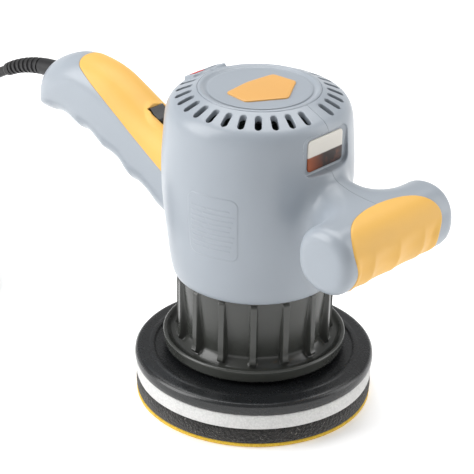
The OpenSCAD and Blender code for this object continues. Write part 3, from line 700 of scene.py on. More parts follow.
relief_path = relief_line()
floor_level = TIE_T + CORD_R
route = [relief_path[-6], relief_path[-1]]
route += [
    np.array([RELIEF_FROM[0] - x, y, floor_level + share * (RELIEF_FROM[2] - floor_level)])
    for x, y, share in DROP
]
coil_path = coil_line()
route = smooth_line(route + [coil_path[0], coil_path[1]], 4)[4:-5]
lead = smooth_line([coil_path[-2], coil_path[-1]] + [COIL_AT + step for step in LEAD], 4)[4:]
cord_path = np.vstack([route, coil_path[:-1], lead])


def add_cord():
    data = bpy.data.curves.new("mains_cord", "CURVE")
    data.dimensions = "3D"
    data.bevel_depth = CORD_R * MM
    data.bevel_resolution = 5
    data.use_fill_caps = True
    spline = data.splines.new("POLY")
    spline.points.add(len(cord_path) - 1)
    for point, place in zip(spline.points, cord_path * MM):
        point.co = (*place, 1)
    spline.use_smooth = True
    data.materials.append(paint["cord_rubber"])
    cord = bpy.data.objects.new("mains_cord", data)
    scene.collection.objects.link(cord)
    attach(cord, "body")
    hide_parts("power_cord", "cord_coil", "plug_lead")
    return cord


def sweep(path, section):
    """Points and faces of a closed section moved along a path. section(i) gives pairs (side, up)."""
    ahead = np.gradient(path, axis=0)
    ahead /= np.linalg.norm(ahead, axis=1, keepdims=True)
    points, sides = [], None
    for i, (place, way) in enumerate(zip(path, ahead)):
        side = np.cross(way, (0, 0, 1))
        side /= np.linalg.norm(side)
        up = np.cross(side, way)
        pairs = np.asarray(section(i))
        sides = len(pairs)
        points.append(place + pairs[:, :1] * side + pairs[:, 1:] * up)
    quads = []
    for i in range(len(path) - 1):
        a = i * sides
        b = a + sides
        quads += [(a + k, a + (k + 1) % sides, b + (k + 1) % sides, b + k) for k in range(sides)]
    quads.append(tuple(range(sides))[::-1])
    quads.append(tuple(range(len(path) * sides - sides, len(path) * sides)))
    return np.vstack(points), quads


def round_section(r, sides=36):
    turn = 2 * math.pi * np.arange(sides) / sides
    return np.stack([r * np.cos(turn), r * np.sin(turn)], 1)


def add_strain_relief():
    """Tapered sleeve with a collar at the handle and seven moulded ribs."""
    steps = len(relief_path) - 1
    ribs = 7

    def section(i):
        t = i / steps
        r = 6.1 - 1.55 * t
        if 0.26 < t < 0.9:
            wave = math.cos(2 * math.pi * ribs * (t - 0.26) / 0.64)
            r -= 0.95 * ease(np.array(wave), -0.1, 0.35)
        if t > 0.97:
            r -= 0.5 * ((t - 0.97) / 0.03) ** 2
        return round_section(float(r))

    fine = smooth_line(relief_path, 4)
    fine_steps = len(fine) - 1
    points, quads = sweep(fine, lambda i: section(i * steps / fine_steps))
    return build("cord_sleeve", points, quads, "cord_rubber", "body", ["strain_relief"])


def add_tie():
    """Strap round the bundle of turns, thin at its edges."""
    turn = math.radians(300)
    out = np.array([math.cos(turn), math.sin(turn), 0])
    along = np.array([-math.sin(turn), math.cos(turn), 0])
    middle = COIL_AT + out * COIL_R + [0, 0, TIE_T + 1.5 * CORD_D]
    half = 1.5 * CORD_D + TIE_T * 0.5
    corner = 3.4
    loop = []
    flat = half - corner
    for k, (a, b) in enumerate(((1, 1), (-1, 1), (-1, -1), (1, -1))):
        for s in range(9):
            angle = math.radians(90 * k + 90 * s / 8)
            loop.append((a * flat + corner * math.cos(angle), b * flat + corner * math.sin(angle)))
    loop = np.array(loop)
    normal = loop - np.roll(loop, 1, axis=0) + np.roll(loop, -1, axis=0) - loop
    normal = np.stack([normal[:, 1], -normal[:, 0]], 1)
    normal /= np.linalg.norm(normal, axis=1, keepdims=True)
    rows = []
    # place across the strap, and height over the loop
    section = (
        (-4.4, 0.25), (-4.1, 0.45), (-3.2, 0.42), (3.2, 0.42), (4.1, 0.45), (4.4, 0.25), (4.4, -0.3),
        (-4.4, -0.3),
    )
    for across, depth in section:
        pts = loop + normal * depth
        rows.append(middle + pts[:, :1] * out + pts[:, 1:] * np.array([0, 0, 1]) + across * along)
    n = len(loop)
    quads = []
    for i in range(len(rows)):
        j = (i + 1) % len(rows)
        quads += [(i * n + k, i * n + (k + 1) % n, j * n + (k + 1) % n, j * n + k) for k in range(n)]
    return build("coil_strap", np.vstack(rows), quads, "tie_strap", "body", ["cord_tie"])


def add_plug():
    """Moulded plug: rounded body with waisted sides, grip ribs, and a short ribbed neck."""
    at = COIL_AT + LEAD[-1]
    way = np.array([math.cos(PLUG_TURN), math.sin(PLUG_TURN), 0])
    # distance along, half width, half height, squareness of the section
    rows = [
        (0, 4.4, 4.4, 2), (0.6, 5.0, 5.0, 2), (3, 5.1, 5.1, 2), (3.5, 4.5, 4.5, 2), (4.5, 4.5, 4.5, 2),
        (5, 5.4, 5.4, 2), (7, 5.6, 5.6, 2), (7.5, 5.0, 5.0, 2), (8.4, 5.2, 5.0, 2.1), (9.2, 6.8, 5.9, 2.4),
        (11, 8.6, 6.8, 2.8), (13.5, 9.8, 7.4, 3.2), (15, 9.9, 7.5, 3.4), (15.6, 9.4, 7.1, 3.4),
        (16.8, 9.4, 7.1, 3.4), (17.4, 10.1, 7.7, 3.6), (19, 10.3, 7.8, 3.6), (19.6, 9.8, 7.4, 3.6),
        (20.8, 9.9, 7.4, 3.6), (21.4, 10.8, 7.9, 3.8), (24, 11.7, 8.3, 4), (28, 12.4, 8.7, 4.2),
        (33, 12.7, 8.8, 4.4), (36.4, 12.6, 8.8, 4.6), (37.4, 12.2, 8.4, 4.6), (37.9, 11.4, 7.6, 4.4),
    ]
    line = smooth_line(rows, 3)
    path = at + line[:, :1] * way

    def section(i):
        _, w, h, power = line[i]
        turn = 2 * math.pi * np.arange(48) / 48
        c, s = np.cos(turn), np.sin(turn)
        return np.stack(
            [w * np.sign(c) * np.abs(c) ** (2 / power), h * np.sign(s) * np.abs(s) ** (2 / power)], 1
        )

    points, quads = sweep(path, section)
    return build("plug_moulding", points, quads, "cord_rubber", "body", ["plug_body"], sharp=50)


cord = add_cord()
add_strain_relief()
strap = add_tie()
plug = add_plug()

# ---- Outer form of the body ----

BARREL_Z, CROWN_Z = 84.5, 206.3
COVER_R = 37.7
# The front crossbar's middle
BAR_X, BAR_Z = 96.0, 140.0

barrel_radius = curve_of([
    (78, 50.9), (84.5, 51.5), (88.6, 52.6), (95, 53.8), (101, 54.6), (114, 56.1), (126, 57.6), (140, 58.8),
    (152, 59.3), (162, 59.2), (172, 58.6), (182, 57.9), (189, 57.3), (193, 56.5), (196, 55.3), (198.5, 53.5),
    (201, 50.6), (204, 45),
])
cone_height = curve_of([
    (0, 206.9), (30, 206.6), (36, 206.3), (38.5, 205.9), (42, 204.4), (46, 202.7), (50, 200.8), (53.7, 198.9),
    (58, 196.2), (64, 192),
])
REAR_OUTLINE = [
    (-30, 155), (-46, 155.8), (-60, 157), (-72, 159.4), (-83, 162.8), (-95, 168), (-104, 172.5),
    (-113, 176.8), (-122, 180.5), (-132, 183), (-142, 184.2), (-152, 184.4), (-161, 182.9),
    (-169, 179.6), (-176, 175.6), (-182.5, 170.2), (-187.5, 163.5), (-190, 157), (-191.2, 150),
    (-191, 144), (-188.5, 140.2), (-184, 138.6), (-175, 138.8), (-167, 140), (-160, 139.3),
    (-154, 136.6), (-147, 134.2), (-140, 134.4), (-134, 131), (-127, 126.6), (-120, 125.2),
    (-113, 122.6), (-107, 117), (-100, 113.2), (-93, 112.6), (-85, 109), (-76, 103.2), (-66, 99.6),
    (-55, 97.6), (-30, 97),
]
rear_depth = outline_depth(smooth_line(REAR_OUTLINE, 6, True), blur=6)
rear_half_width = curve_of([
    (-200, 16.5), (-186, 17.4), (-165, 18.4), (-140, 18.4), (-110, 18), (-85, 18.6), (-60, 20.4), (-30, 22),
])
FRONT_OUTLINE = [
    (20, 20), (44, 20), (56, 20.3), (63, 20.8), (68.5, 22.3), (72.6, 25.4), (75.3, 30), (76.6, 37),
    (76.6, 48), (77.2, 62), (82, 78), (96, 84), (110, 78), (114.9, 60), (115.7, 44), (115.9, 22), (116, 0),
]
front_outline = FRONT_OUTLINE + [(x, -y) for x, y in FRONT_OUTLINE[-2::-1]]
front_depth = outline_depth(smooth_line(front_outline, 6, True), blur=6)
front_half_height = curve_of([
    (20, 27.4), (46, 27.2), (58, 26), (66, 24), (74, 22), (84, 20.9), (96, 20.6), (130, 20.6),
])
REAR_ROUND, FRONT_ROUND = 19.5, 19.4


def pillow(depth, reach, across, half, power):
    """A form that is full inside an outline and rounds off towards it."""
    near = np.maximum(1 + depth / reach, 0)
    return ((np.abs(across / half) ** power + near**power) ** (1 / power) - 1) * reach * 0.95


def barrel_form(x, y, z):
    r = np.hypot(x, y)
    form = smax(r - barrel_radius(z), (z - cone_height(r)) * 0.9, 0.9)
    return smax(form, BARREL_Z - z, 1.2)


def body_form(x, y, z):
    rear = pillow(rear_depth(x, z), REAR_ROUND, y, rear_half_width(x), 2.25)
    rear = smax(rear, x + 30, 1)
    front = pillow(front_depth(x, y), FRONT_ROUND, z - BAR_Z, front_half_height(x), 2.2)
    end = 51.2 - 0.0028 * ((x - BAR_X) ** 2 + (z - BAR_Z) ** 2)
    front = smax(front, np.abs(y) - end, 7.5)
    front = smax(front, 20 - x, 1)
    form = smin(barrel_form(x, y, z), rear, 5.0)
    return smin(form, front, 7.0)


# Rocker switch and speed slider: where they sit, as x and z, and how far their faces lean
SWITCH_AT, SWITCH_LEAN = (-80.0, 160.4), math.radians(22)
SLIDER_AT, SLIDER_LEAN = (-45.7, 203.1), math.radians(-24)
# Half sizes of the ring round the switch. Holes and the pocket: half sizes and corner radius
SWITCH_RING = (15.5, 10.6)
SWITCH_HOLE = (12.0, 7.0, 1.2)
SWITCH_SEAT, SWITCH_DISH = 1.5, 0.8
SLIDER_HUMP, SLIDER_HUMP_H = (5.6, 14.5, 3.0), 1.2
SLIDER_SLOT = (2.95, 11.45, 0.5)
POCKET_FLOOR = 53.0
POCKET = (19.4, 12.2, 5.0)
LABEL_Z = 182.0
COVER_HOLE, FOOT_HOLE = 38.0, 48.9
VENT_STEP = math.radians(12)
VENT_SPAN, VENT_R = (42.7, 49.0), 2.3


def leaning(x, z, at, lean):
    """Along and away from a face that leans about the Y axis."""
    dx, dz = x - at[0], z - at[1]
    return dx * math.cos(lean) - dz * math.sin(lean), dx * math.sin(lean) + dz * math.cos(lean)


def rounded_rect(u, v, half_u, half_v, r):
    du, dv = np.abs(u) - half_u + r, np.abs(v) - half_v + r
    return np.hypot(np.maximum(du, 0), np.maximum(dv, 0)) + np.minimum(np.maximum(du, dv), 0) - r


def outer_form(x, y, z):
    form = body_form(x, y, z)
    u, w = leaning(x, z, SLIDER_AT, SLIDER_LEAN)
    hump = smax(rounded_rect(u, y, *SLIDER_HUMP), w - SLIDER_HUMP_H, 1.2)
    form = smin(form, smax(hump, -5 - w, 0.5), 1.4)
    u, w = leaning(x, z, SWITCH_AT, SWITCH_LEAN)
    ring = np.where(w > -12, np.hypot(u / SWITCH_RING[0], y / SWITCH_RING[1]) - 1, 3) * 12.5
    form = smin(form, smax(ring, w - SWITCH_SEAT, 2.4), 2.0)
    dish = smax(ring + 2.2, SWITCH_DISH - w, 1.2)
    form = smax(form, -np.where(w < 10, dish, 9), 0.8)
    pocket = smax(rounded_rect(y, z - LABEL_Z, *POCKET), POCKET_FLOOR - x, 0.5)
    return smax(form, -pocket, 0.9)


def holes(x, y, z):
    """Below 0 inside every hole through the skin, with the way its walls run."""
    r, turn = np.hypot(x, y), np.arctan2(y, x)
    step = np.round(turn / VENT_STEP)
    off = turn - step * VENT_STEP
    along, across = r * np.cos(off), r * np.sin(off)
    vent = np.hypot(along - np.clip(along, *VENT_SPAN), across) - VENT_R
    open_place = (step != 0) & (np.abs(step * VENT_STEP) < math.radians(159)) & (z > 190)
    vent = np.where(open_place, vent, 5)
    cover = np.where(z > 190, r - COVER_HOLE, 5)
    foot = np.where(z < 90, r - FOOT_HOLE, 5)
    u, w = leaning(x, z, SLIDER_AT, SLIDER_LEAN)
    slot = np.where(np.abs(w - 1) < 3, rounded_rect(u, y, *SLIDER_SLOT), 5)
    u, w = leaning(x, z, SWITCH_AT, SWITCH_LEAN)
    window = np.where(np.abs(w) < 9, rounded_rect(u, y, *SWITCH_HOLE), 5)
    return np.stack([vent, cover, foot, slot, window])


def hole_edge(x, y, z):
    return holes(x, y, z).min(0)


def slope_of(lean):
    return (-math.sin(lean), 0, -math.cos(lean))


HOLE_WAYS = np.array([(0, 0, -1), (0, 0, -1), (0, 0, 1), slope_of(SLIDER_LEAN), slope_of(SWITCH_LEAN)])
HOLE_DEPTHS = np.array([3.4, 2.6, 6.0, 5.0, 2.0])

# Edge of the rear grip along the side of the handle, as (x, z)
rear_grip_line = curve_of([
    (-175, 186.6), (-165, 185.8), (-154.4, 183.3), (-146.4, 180), (-139.5, 177.1), (-133.4, 174.1),
    (-123.2, 168.6), (-113.6, 162.7), (-104.3, 157.1), (-94.7, 151.3), (-85.1, 146.1), (-75.2, 141),
    (-55, 131),
])
# The front grip sits a little to the right, as in the photo; a ridge lies at its middle
FRONT_GRIP_Y = -2.75
FRONT_GRIP_HALF, FRONT_GRIP_DEEP = 38.6, 21.8
FINGER_PITCH = 22.7


def rear_grip_edge(x, y, z):
    edge = smax((rear_grip_line(x) - z) * 0.88, -154.6 - x, 9.0)
    edge = np.maximum(edge, barrel_radius(z) + 1.6 - np.hypot(x, y))
    return np.where((x < -75) | ((x < -40) & (z < 185)), edge, 30)


def front_grip_edge(x, y, z):
    half = FRONT_GRIP_HALF + 1.4 * np.cos((z - 150) * 2 * math.pi / 30)
    across, ahead = (y - FRONT_GRIP_Y) / half, (x - 116.2) / FRONT_GRIP_DEEP
    ring = np.hypot(across, ahead)
    steep = np.hypot(across / half, ahead / FRONT_GRIP_DEEP) / np.maximum(ring, 1e-6)
    return np.where(x > 88, (ring - 1) / np.maximum(steep, 1e-6), 30)


def grip_edge(x, y, z):
    return np.minimum(rear_grip_edge(x, y, z), front_grip_edge(x, y, z))


GRID = 1.15
points, triangles = nets(outer_form, (-194, -4, 82), (118, 62, 210), GRID)
points = settle(points, triangles, outer_form, 5)
half = Shell(points, triangles)


def near_detail(x, y, z):
    u, w = leaning(x, z, SWITCH_AT, SWITCH_LEAN)
    ring = np.abs(np.hypot(u / SWITCH_RING[0], y / SWITCH_RING[1]) - 1) * 13
    ring = np.where(w > -12, ring, 9)
    pocket = np.where(x > 40, np.abs(rounded_rect(y, z - LABEL_Z, *POCKET)), 9)
    u, w = leaning(x, z, SLIDER_AT, SLIDER_LEAN)
    hump = np.where(w > -6, rounded_rect(u, y, *SLIDER_HUMP), 9)
    return np.minimum(np.minimum(ring - 1.5, pocket), np.maximum(hump, 0))


half.refine(near_detail, 1.6)
half.p = settle(half.p, half.t, outer_form, 3)
half.refine(lambda x, y, z: np.abs(hole_edge(x, y, z)), 1.2)
half.refine(lambda x, y, z: np.abs(grip_edge(x, y, z)), 1.4)
half.p = settle(half.p, half.t, outer_form, 1)
half.refine(lambda x, y, z: np.abs(grip_edge(x, y, z)), 0.7)

s = half.cut(hole_edge)
half = half.take(half.side(s))
s = half.cut(lambda x, y, z: y)
half = half.take(half.side(s))


def joined(shell):
    """The half and its mirror image, as one mesh."""
    other = shell.mirrored()
    n = len(shell.p)
    number = np.where(shell.p[:, 1] < 1e-6, np.arange(n), n + np.arange(n))
    both = Shell(np.vstack([shell.p, other.p]), np.vstack([shell.t, number[other.t]]))
    both.held = np.concatenate([shell.held, other.held])
    return both


whole = joined(half)


def wall_of_hole(down, inset):
    def ring(base, used):
        kinds = holes(*base.T).argmin(0)
        slope = gradient(hole_edge, base, 0.05)
        slope /= np.maximum(np.linalg.norm(slope, axis=1, keepdims=True), 1e-6)
        depth = HOLE_DEPTHS[kinds][:, None]
        return base + HOLE_WAYS[kinds] * (depth * down + (0.3 if inset else 0)) - slope * inset

    return ring


def inward(shell, depths):
    """Rings that go in along the skin's own normals."""
    normal = shell.normals()
    return [lambda base, used, d=d: base - normal[used] * d for d in depths]


def at_hole(shell):
    return np.abs(hole_edge(*shell.p.T)) < 0.15


whole.rim(at_hole(whole), [wall_of_hole(0.0, 0.25), wall_of_hole(1.0, 0.25)])

# Soft grips: cut a little inside the edge, raised with a rounded border
GRIP_RISE, GRIP_GAP = 0.4, 0.16


def finger_scallops(x, y, z):
    """Depth of the hollows for the fingers on the lower front of the front grip."""
    place = (y - FRONT_GRIP_Y) / FINGER_PITCH
    across = 2 * (place - np.floor(place)) - 1
    hollow = 1.8 * (1 - across**2)
    low_down = (1 - ease(z, 137, 149)) * ease(z, 118, 131)
    return hollow * low_down * ease(x, 96, 108) * (np.abs(place) < 2)


def grip_piece(edge, name, replaced, hollows=None):
    """The skin inside edge, raised with a rounded border and given a wall."""
    shell = whole.copy()
    s = shell.cut(lambda x, y, z: edge(x, y, z) + GRIP_GAP)
    shell = shell.take(~shell.side(s))
    normal = shell.normals()
    inside = np.maximum(-edge(*shell.p.T) - GRIP_GAP, 0)
    rise = GRIP_RISE * np.sqrt(1 - (1 - np.clip(inside / 0.9, 0, 1)) ** 2)
    if hollows is not None:
        rise = rise - hollows(*shell.p.T) * ease(inside, 0.5, 6)
    shell.rim(np.abs(edge(*shell.p.T) + GRIP_GAP) < 0.1, inward(shell, (0.5, 1.6)))
    shell.p[: len(rise)] += normal * rise[:, None]
    return build(name, shell.p, shell.t, "grip_rubber", "body", [replaced])


grip_piece(rear_grip_edge, "rear_grip_cover", "rear_grip")
grip_piece(front_grip_edge, "front_grip_cover", "front_grip", finger_scallops)

s = whole.cut(grip_edge)
skin = whole.take(whole.side(s))
skin.rim(np.abs(grip_edge(*skin.p.T)) < 0.1, inward(skin, (1.6,)))

SEAM = 0.11
# Plate for the ratings on the right side: angle across, height, half sizes and corner, in mm
PANEL_TURN, PANEL_Z, PANEL_R = math.radians(-75), 136.6, 57.5
PANEL = (16.6, 20.8, 5.0)
PANEL_ROWS = [(-14.5 + 3.4 * k, 3.0 + (k * 7) % 5, 11.0 + (k * 5) % 4) for k in range(9)]


def panel_edge(x, y, z):
    across = (np.arctan2(y, x) - PANEL_TURN) * PANEL_R
    return np.where((y < 0) & (np.abs(across) < 30), rounded_rect(across, z - PANEL_Z, *PANEL), 30)


def panel_rows(x, y, z):
    """Plain raised rows on the panel."""
    across = np.where(y < 0, (np.arctan2(y, x) - PANEL_TURN) * PANEL_R, 60)
    best = np.full(x.shape, 30.0)
    for height, start, end in PANEL_ROWS:
        for low_end, high_end in ((-13.5, -start), (2 - start, end)):
            off = np.abs(across - (low_end + high_end) / 2) - (high_end - low_end) / 2
            best = np.minimum(best, np.hypot(np.maximum(off, 0), z - PANEL_Z - height) - 0.35)
    return best


def housing_half(name, replaced, way):
    """The skin on one side of the parting plane, with the panel raised on the right one."""
    shell = skin.copy()
    s = shell.cut(lambda x, y, z: way * y - SEAM)
    shell = shell.take(shell.side(s))
    if way < 0:
        for reach in (1.6, 0.8):
            shell.refine(lambda *at: np.minimum(np.abs(panel_edge(*at)), panel_rows(*at)), reach)
        lift = 0.3 * (1 - ease(panel_edge(*shell.p.T), -0.35, 0.25))
        lift = lift + 0.2 * (1 - ease(panel_rows(*shell.p.T), 0.0, 0.35))
        shell.p += shell.normals() * lift[:, None]
    shell.rim(np.abs(shell.p[:, 1] * way - SEAM) < 1e-3, inward(shell, (1.4,)))
    return build(name, shell.p, shell.t, "body_plastic", "body", [replaced])


housing_half("housing_skin_left", "housing_left", 1)
housing_half("housing_skin_right", "housing_right", -1)


# ---- Round pieces ----


def soften(profile, reach, steps=4):
    """Rounds each corner of a closed profile."""
    p = np.asarray(profile, float)
    out = []
    for before, corner, after in zip(np.roll(p, 1, 0), p, np.roll(p, -1, 0)):
        ends = []
        for other in (before, after):
            away = other - corner
            ends.append(corner + away * min(reach / np.hypot(*away), 0.42))
        t = np.linspace(0, 1, steps + 1)[:, None]
        out.append((1 - t) ** 2 * ends[0] + 2 * t * (1 - t) * corner + t * t * ends[1])
    return np.vstack(out)


def lathe(
    name, profile, slot, body, replaces=(), centre=(0, 0), turns=None, shape=None, closed=True, sharp=38.0
):
    """A profile of (radius, height) turned round a vertical axis. shape changes the radius and
    height at each turn. An open profile starts and ends on the axis."""
    profile = np.asarray(profile, float)
    turns = np.linspace(0, 2 * math.pi, 193)[:-1] if turns is None else turns
    rows, columns = len(profile), len(turns)
    r = profile[:, 0][:, None] + 0 * turns
    z = profile[:, 1][:, None] + 0 * turns
    if shape:
        r, z = shape(r, z, turns[None, :] + 0 * r)
    x = centre[0] + r * np.cos(turns)
    y = centre[1] + r * np.sin(turns)
    points = np.stack([x, y, z], 2).reshape(-1, 3)
    faces = []
    for i in range(rows if closed else rows - 1):
        a, b = i * columns, ((i + 1) % rows) * columns
        for j in range(columns):
            k = (j + 1) % columns
            faces.append((a + j, a + k, b + k, b + j))
    if not closed:
        faces.append(tuple(range(columns))[::-1])
        faces.append(tuple((rows - 1) * columns + j for j in range(columns)))
    return build(name, points, faces, slot, body, replaces, sharp=sharp)


# ---- Top cover, emblem and label ----

cover_profile = [
    (0.4, CROWN_Z - 0.55), (30.0, CROWN_Z - 0.6), (31.2, CROWN_Z - 0.75), (32.6, CROWN_Z - 1.05),
    (33.8, CROWN_Z - 0.85), (34.7, CROWN_Z - 0.3), (35.4, CROWN_Z + 0.1), (36.2, CROWN_Z + 0.28),
    (37.0, CROWN_Z + 0.18), (37.5, CROWN_Z - 0.15), (COVER_R, CROWN_Z - 0.7), (COVER_R, CROWN_Z - 5),
    (0.4, CROWN_Z - 5),
]
# its first eleven points are the smooth face
cover_profile = np.vstack([smooth_line(cover_profile[:11], 4), cover_profile[11:]])
lathe("top_cover_disc", cover_profile, "body_plastic", "body", ["top_cover"], closed=False)

EMBLEM = [(23.6, 0), (9.6, 22.6), (-8.2, 20.8), (-10.5, 0), (-8.2, -20.8), (9.6, -22.6)]
EMBLEM_TOP = CROWN_Z + 0.3


def plate_piece(name, outline, low_z, high_z, bevel, slot, replaced, dome=0.0, place=None):
    """A flat insert with rounded edges. place maps its own points to the machine's."""
    line = np.asarray(outline, float)
    middle = line.mean(0)
    n = len(line)
    steps = [(0, low_z), (0, high_z - bevel), (0.3 * bevel, high_z - 0.3 * bevel), (bevel, high_z)]
    steps += [(bevel + share, high_z) for share in (1.5, 4.0, 8.0)]
    side = np.roll(line, -1, 0) - np.roll(line, 1, 0)
    inward_way = np.stack([-side[:, 1], side[:, 0]], 1)
    inward_way /= np.linalg.norm(inward_way, axis=1, keepdims=True)
    points, faces = [], []
    reach = np.linalg.norm(line - middle, axis=1).min()
    for inset, z in steps:
        ring = line + inward_way * min(inset, 1.2) + (middle - line) * max(inset - 1.2, 0) / reach
        share = np.linalg.norm(ring - middle, axis=1) / np.linalg.norm(line - middle, axis=1)
        rise = dome * (1 - share**2)
        points.append(np.column_stack([ring, z + rise]))
    for i in range(len(steps) - 1):
        for j in range(n):
            k = (j + 1) % n
            faces.append((i * n + j, i * n + k, (i + 1) * n + k, (i + 1) * n + j))
    faces.append(tuple(range(n))[::-1])
    faces.append(tuple((len(steps) - 1) * n + j for j in range(n)))
    points = np.vstack(points)
    if place:
        points = place(points)
    return build(name, points, faces, slot, "body", [replaced], sharp=50)


emblem_line = soften(EMBLEM, 2.6, 5)
plate_piece(
    "emblem_insert", emblem_line, CROWN_Z - 0.6, EMBLEM_TOP, 0.45, "emblem_plastic", "top_emblem", 0.25
)

LABEL_HALF_W, LABEL_HALF_H, LABEL_THICK = 15.4, 10.1, 0.7
label_corners = [(a * LABEL_HALF_W, b * LABEL_HALF_H) for a, b in ((1, 1), (-1, 1), (-1, -1), (1, -1))]


def label_place(p):
    return np.column_stack([POCKET_FLOOR + p[:, 2], p[:, 0], LABEL_Z - 0.3 + p[:, 1]])


label_line = soften(label_corners, 3.2, 6)
plate_piece("label_film", label_line, 0.0, LABEL_THICK, 0.25, "label_print", "label_plate", 0.1, label_place)

# The switch's case is the CAD's own, with its top edge set below the skin
case = frame["nodes"]["switch_body"]
case_points = np.array([case.matrix_world @ v.co for v in case.data.vertices]) / MM
case_height = leaning(case_points[:, 0], case_points[:, 2], SWITCH_AT, SWITCH_LEAN)[1]
CASE_SUNK = 0.5
sunk = np.maximum(case_height + CASE_SUNK, 0)[:, None]
case_points = case_points + sunk * np.array(slope_of(SWITCH_LEAN))
case_faces = [tuple(face.vertices) for face in case.data.polygons]
build("switch_case", case_points, case_faces, "switch_plastic", "body", ["switch_body"])

# ---- Collar ----

FLANGE_Z, FLANGE_R = 32.8, 58.0
RIBS = 15
RIB_HALF, RIB_FILLET = 1.75, 1.1
# Radius at which the ribs' widths are measured, the drum's largest, and where the flange begins
RIB_R, DRUM_MAX_R, FLANGE_FROM_R = 48.0, 50, 49.4
collar_outside = [
    (50.5, 36.2), (52.4, 33.2), (55.6, FLANGE_Z), (57.2, 34.0), (57.7, 37.2), (FLANGE_R, 39.6),
    (57.9, 40.7), (57.1, 41.35), (56.2, 41.25), (55.4, 40.6), (53.9, 38.9), (52.2, 38.0), (50.0, 38.3),
    (48.0, 39.7), (46.3, 41.3), (45.1, 43.2), (44.8, 46.0), (45.3, 52.0), (46.0, 60.0), (46.8, 68.0),
    (47.6, 76.0), (48.1, 81.0), (48.3, 82.9), (48.2, 83.9),
]
collar_inside = [
    (48.4, 84.1), (48.4, 91.4), (45.7, 91.4), (45.7, 79.0), (18.0, 79.0), (18.0, 84.0), (14.0, 84.0),
    (14.0, 76.0), (45.2, 76.0), (41.8, 44.5), (41.7, 38.4),
]
collar_profile = np.vstack([smooth_line(collar_outside, 4), collar_inside])
rib_reach = curve_of([
    (39.6, 0), (40.6, 3.2), (42, 4.6), (44, 4.9), (60, 3.6), (78, 1.9), (81, 1.5), (82.6, 0),
])
offsets = np.array([0, 0.7, 1.2, 1.5, 1.75, 1.95, 2.15, 2.35, 2.6, 2.9, 3.4, 4.4, 6.0, 8.0])
half_turns = offsets / RIB_R
one_rib = np.concatenate([-half_turns[:0:-1], half_turns])
collar_turns = np.concatenate([k * 2 * math.pi / RIBS + one_rib for k in range(RIBS)])


def ribbed(r, z, turn):
    pitch = 2 * math.pi / RIBS
    off = np.abs((turn + pitch / 2) % pitch - pitch / 2) * RIB_R
    full = 1 - ease(off, RIB_HALF, RIB_HALF + RIB_FILLET)
    outside = (np.arange(r.shape[0]) < len(collar_profile) - len(collar_inside))[:, None]
    drum = np.minimum(r, DRUM_MAX_R)
    reach = np.maximum(rib_reach(z), 0) * (r < FLANGE_FROM_R) * outside
    rib_r = np.maximum(drum + reach, r)
    # between ribs the dish keeps its own height; on a rib the face stands out
    return r + (rib_r - r) * full, z


lathe(
    "ribbed_collar", collar_profile, "collar_plastic", "body", ["drive_collar"],
    turns=collar_turns, shape=ribbed, sharp=48,
)

# ---- Backing plate and pad ----

ORBIT = 4
PAD_AT = (ORBIT * math.cos(math.radians(45)), -ORBIT * math.sin(math.radians(45)))
PLATE_Z, PLATE_TOP, PLATE_R = 22.6, 31.6, 76.0
plate_profile = soften([
    (5, PLATE_Z), (73.8, PLATE_Z), (75.6, 23.8), (PLATE_R, 26.4), (75.7, 29.2), (74.4, 30.7),
    (72.4, 31.1), (67.0, 31.3), (66.0, 31.55),
    (64.4, PLATE_TOP), (63.6, 31.3), (63.0, 30.2), (18, 30.2), (15, 36.8), (5, 36.8),
], 0.7, 3)
lathe("backing_disc", plate_profile, "plate_plastic", "pad", ["backing_plate"], PAD_AT)


def wavy(seed, size, edge_r):
    """Uneven skin for cut foam: slow waves round the edge and small tears near it."""
    draw = np.random.default_rng(seed)
    waves = [(k, draw.uniform(-1, 1) / k**0.7, draw.uniform(0, 6.28)) for k in range(3, 60, 3)]
    tears = [
        (k, draw.uniform(-1, 1), draw.uniform(0, 6.28), draw.uniform(0, 6.28)) for k in range(40, 180, 7)
    ]

    def shape(r, z, turn):
        near = ease(r, edge_r - 6, edge_r - 1)
        slow = sum(a * np.sin(k * turn + p) for k, a, p in waves) / 3
        fine = sum(a * np.sin(k * turn + p) * np.sin(1.9 * z + q) for k, a, p, q in tears) / 8
        return r + near * size * (slow + fine), z

    return shape


def foam_layer(name, low_z, high_z, r, bulge, seed, size, slot, replaced):
    """One layer of the pad, from low_z to high_z, whose edge bulges and turns in at its ends."""
    edge = [
        (r + bulge * math.sin(math.pi * t) - 0.5 * (2 * t - 1) ** 6, low_z + (high_z - low_z) * t)
        for t in np.linspace(0, 1, 9)
    ]
    profile = [(0.5, low_z), (r - 9, low_z), (r - 4, low_z), (r - 1.2, low_z)] + edge
    profile += [(r - 1.2, high_z), (r - 4, high_z), (r - 9, high_z), (0.5, high_z)]
    turns = np.linspace(0, 2 * math.pi, 721)[:-1]
    skin_of = wavy(seed, size, r)
    piece = lathe(name, profile, slot, "pad", [replaced], PAD_AT, turns, skin_of, closed=False, sharp=60)


foam_layer("foam_firm_layer", 13.0, 22.6, 75.0, 0.15, 3, 0.16, "firm_foam", "firm_foam")
foam_layer("foam_soft_layer", 2.4, 13.0, 74.6, 0.5, 5, 0.16, "soft_foam", "soft_foam")
foam_layer("foam_face_layer", 0.0, 2.4, 74.6, 0.2, 8, 0.25, "face_foam", "buffing_face")


# ---- Floor, lights and world, in metres ----

FLOOR_HALF, FLOOR_Z = 4, -0.0002
LIGHTS_AIM = (0, 0, 0.12)


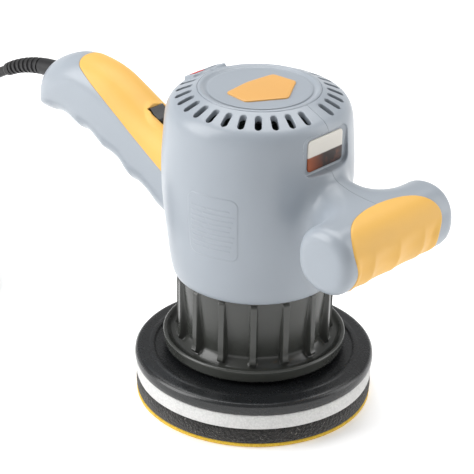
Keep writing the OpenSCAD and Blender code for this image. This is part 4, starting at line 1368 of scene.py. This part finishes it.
def add_floor():
    mesh = bpy.data.meshes.new("floor")
    corners = [(a * FLOOR_HALF, b * FLOOR_HALF, FLOOR_Z) for a, b in ((-1, -1), (1, -1), (1, 1), (-1, 1))]
    mesh.from_pydata(corners, [], [(0, 1, 2, 3)])
    m = Nodes("floor")
    m.link(m.ramp(m.noise(3.0), [(0.3, (0.95, 0.95, 0.95)), (0.7, (0.97, 0.97, 0.97))]), "Base Color")
    m.set(Roughness=0.7, Specular_IOR_Level=0.2, Emission_Color=(1, 1, 1, 1), Emission_Strength=0.2)
    mesh.materials.append(m.material)
    floor = bpy.data.objects.new("floor", mesh)
    scene.collection.objects.link(floor)


def add_light(name, at, size, power):
    data = bpy.data.lights.new(name, "AREA")
    data.shape = "RECTANGLE"
    data.size, data.size_y = size
    data.energy = power
    light = bpy.data.objects.new(name, data)
    light.location = at
    light.rotation_euler = (Vector(LIGHTS_AIM) - at).to_track_quat("-Z", "Y").to_euler()
    scene.collection.objects.link(light)


add_floor()
# To the right of the camera's view, and towards the camera, along the ground
RIGHT = Vector((0.74, 0.673, 0))
TOWARD = Vector((0.673, -0.74, 0))
add_light("left_box", -1.3 * RIGHT + 0.25 * TOWARD + Vector((0, 0, 0.9)), (1.0, 1.4), 22)
add_light("right_box", 1.4 * RIGHT - 0.1 * TOWARD + Vector((0, 0, 0.7)), (0.8, 1.4), 8)
add_light("top_box", -0.5 * TOWARD + Vector((0, 0, 1.7)), (1.6, 1.4), 25)
world = bpy.data.worlds.new("studio")
world.use_nodes = True
sky = world.node_tree.nodes
way = sky.new("ShaderNodeTexCoord").outputs["Generated"]
up_part = sky.new("ShaderNodeSeparateXYZ")
fade = sky.new("ShaderNodeValToRGB")
world.node_tree.links.new(way, up_part.inputs[0])
world.node_tree.links.new(up_part.outputs["Z"], fade.inputs[0])
world.node_tree.links.new(fade.outputs["Color"], sky["Background"].inputs["Color"])
# bright along the horizon, softer above, as in a white cove
fade.color_ramp.elements[0].position = 0.12
fade.color_ramp.elements[0].color = (1, 1, 1, 1)
fade.color_ramp.elements[1].position = 0.3
fade.color_ramp.elements[1].color = (0.33, 0.33, 0.33, 1)
scene.world = world
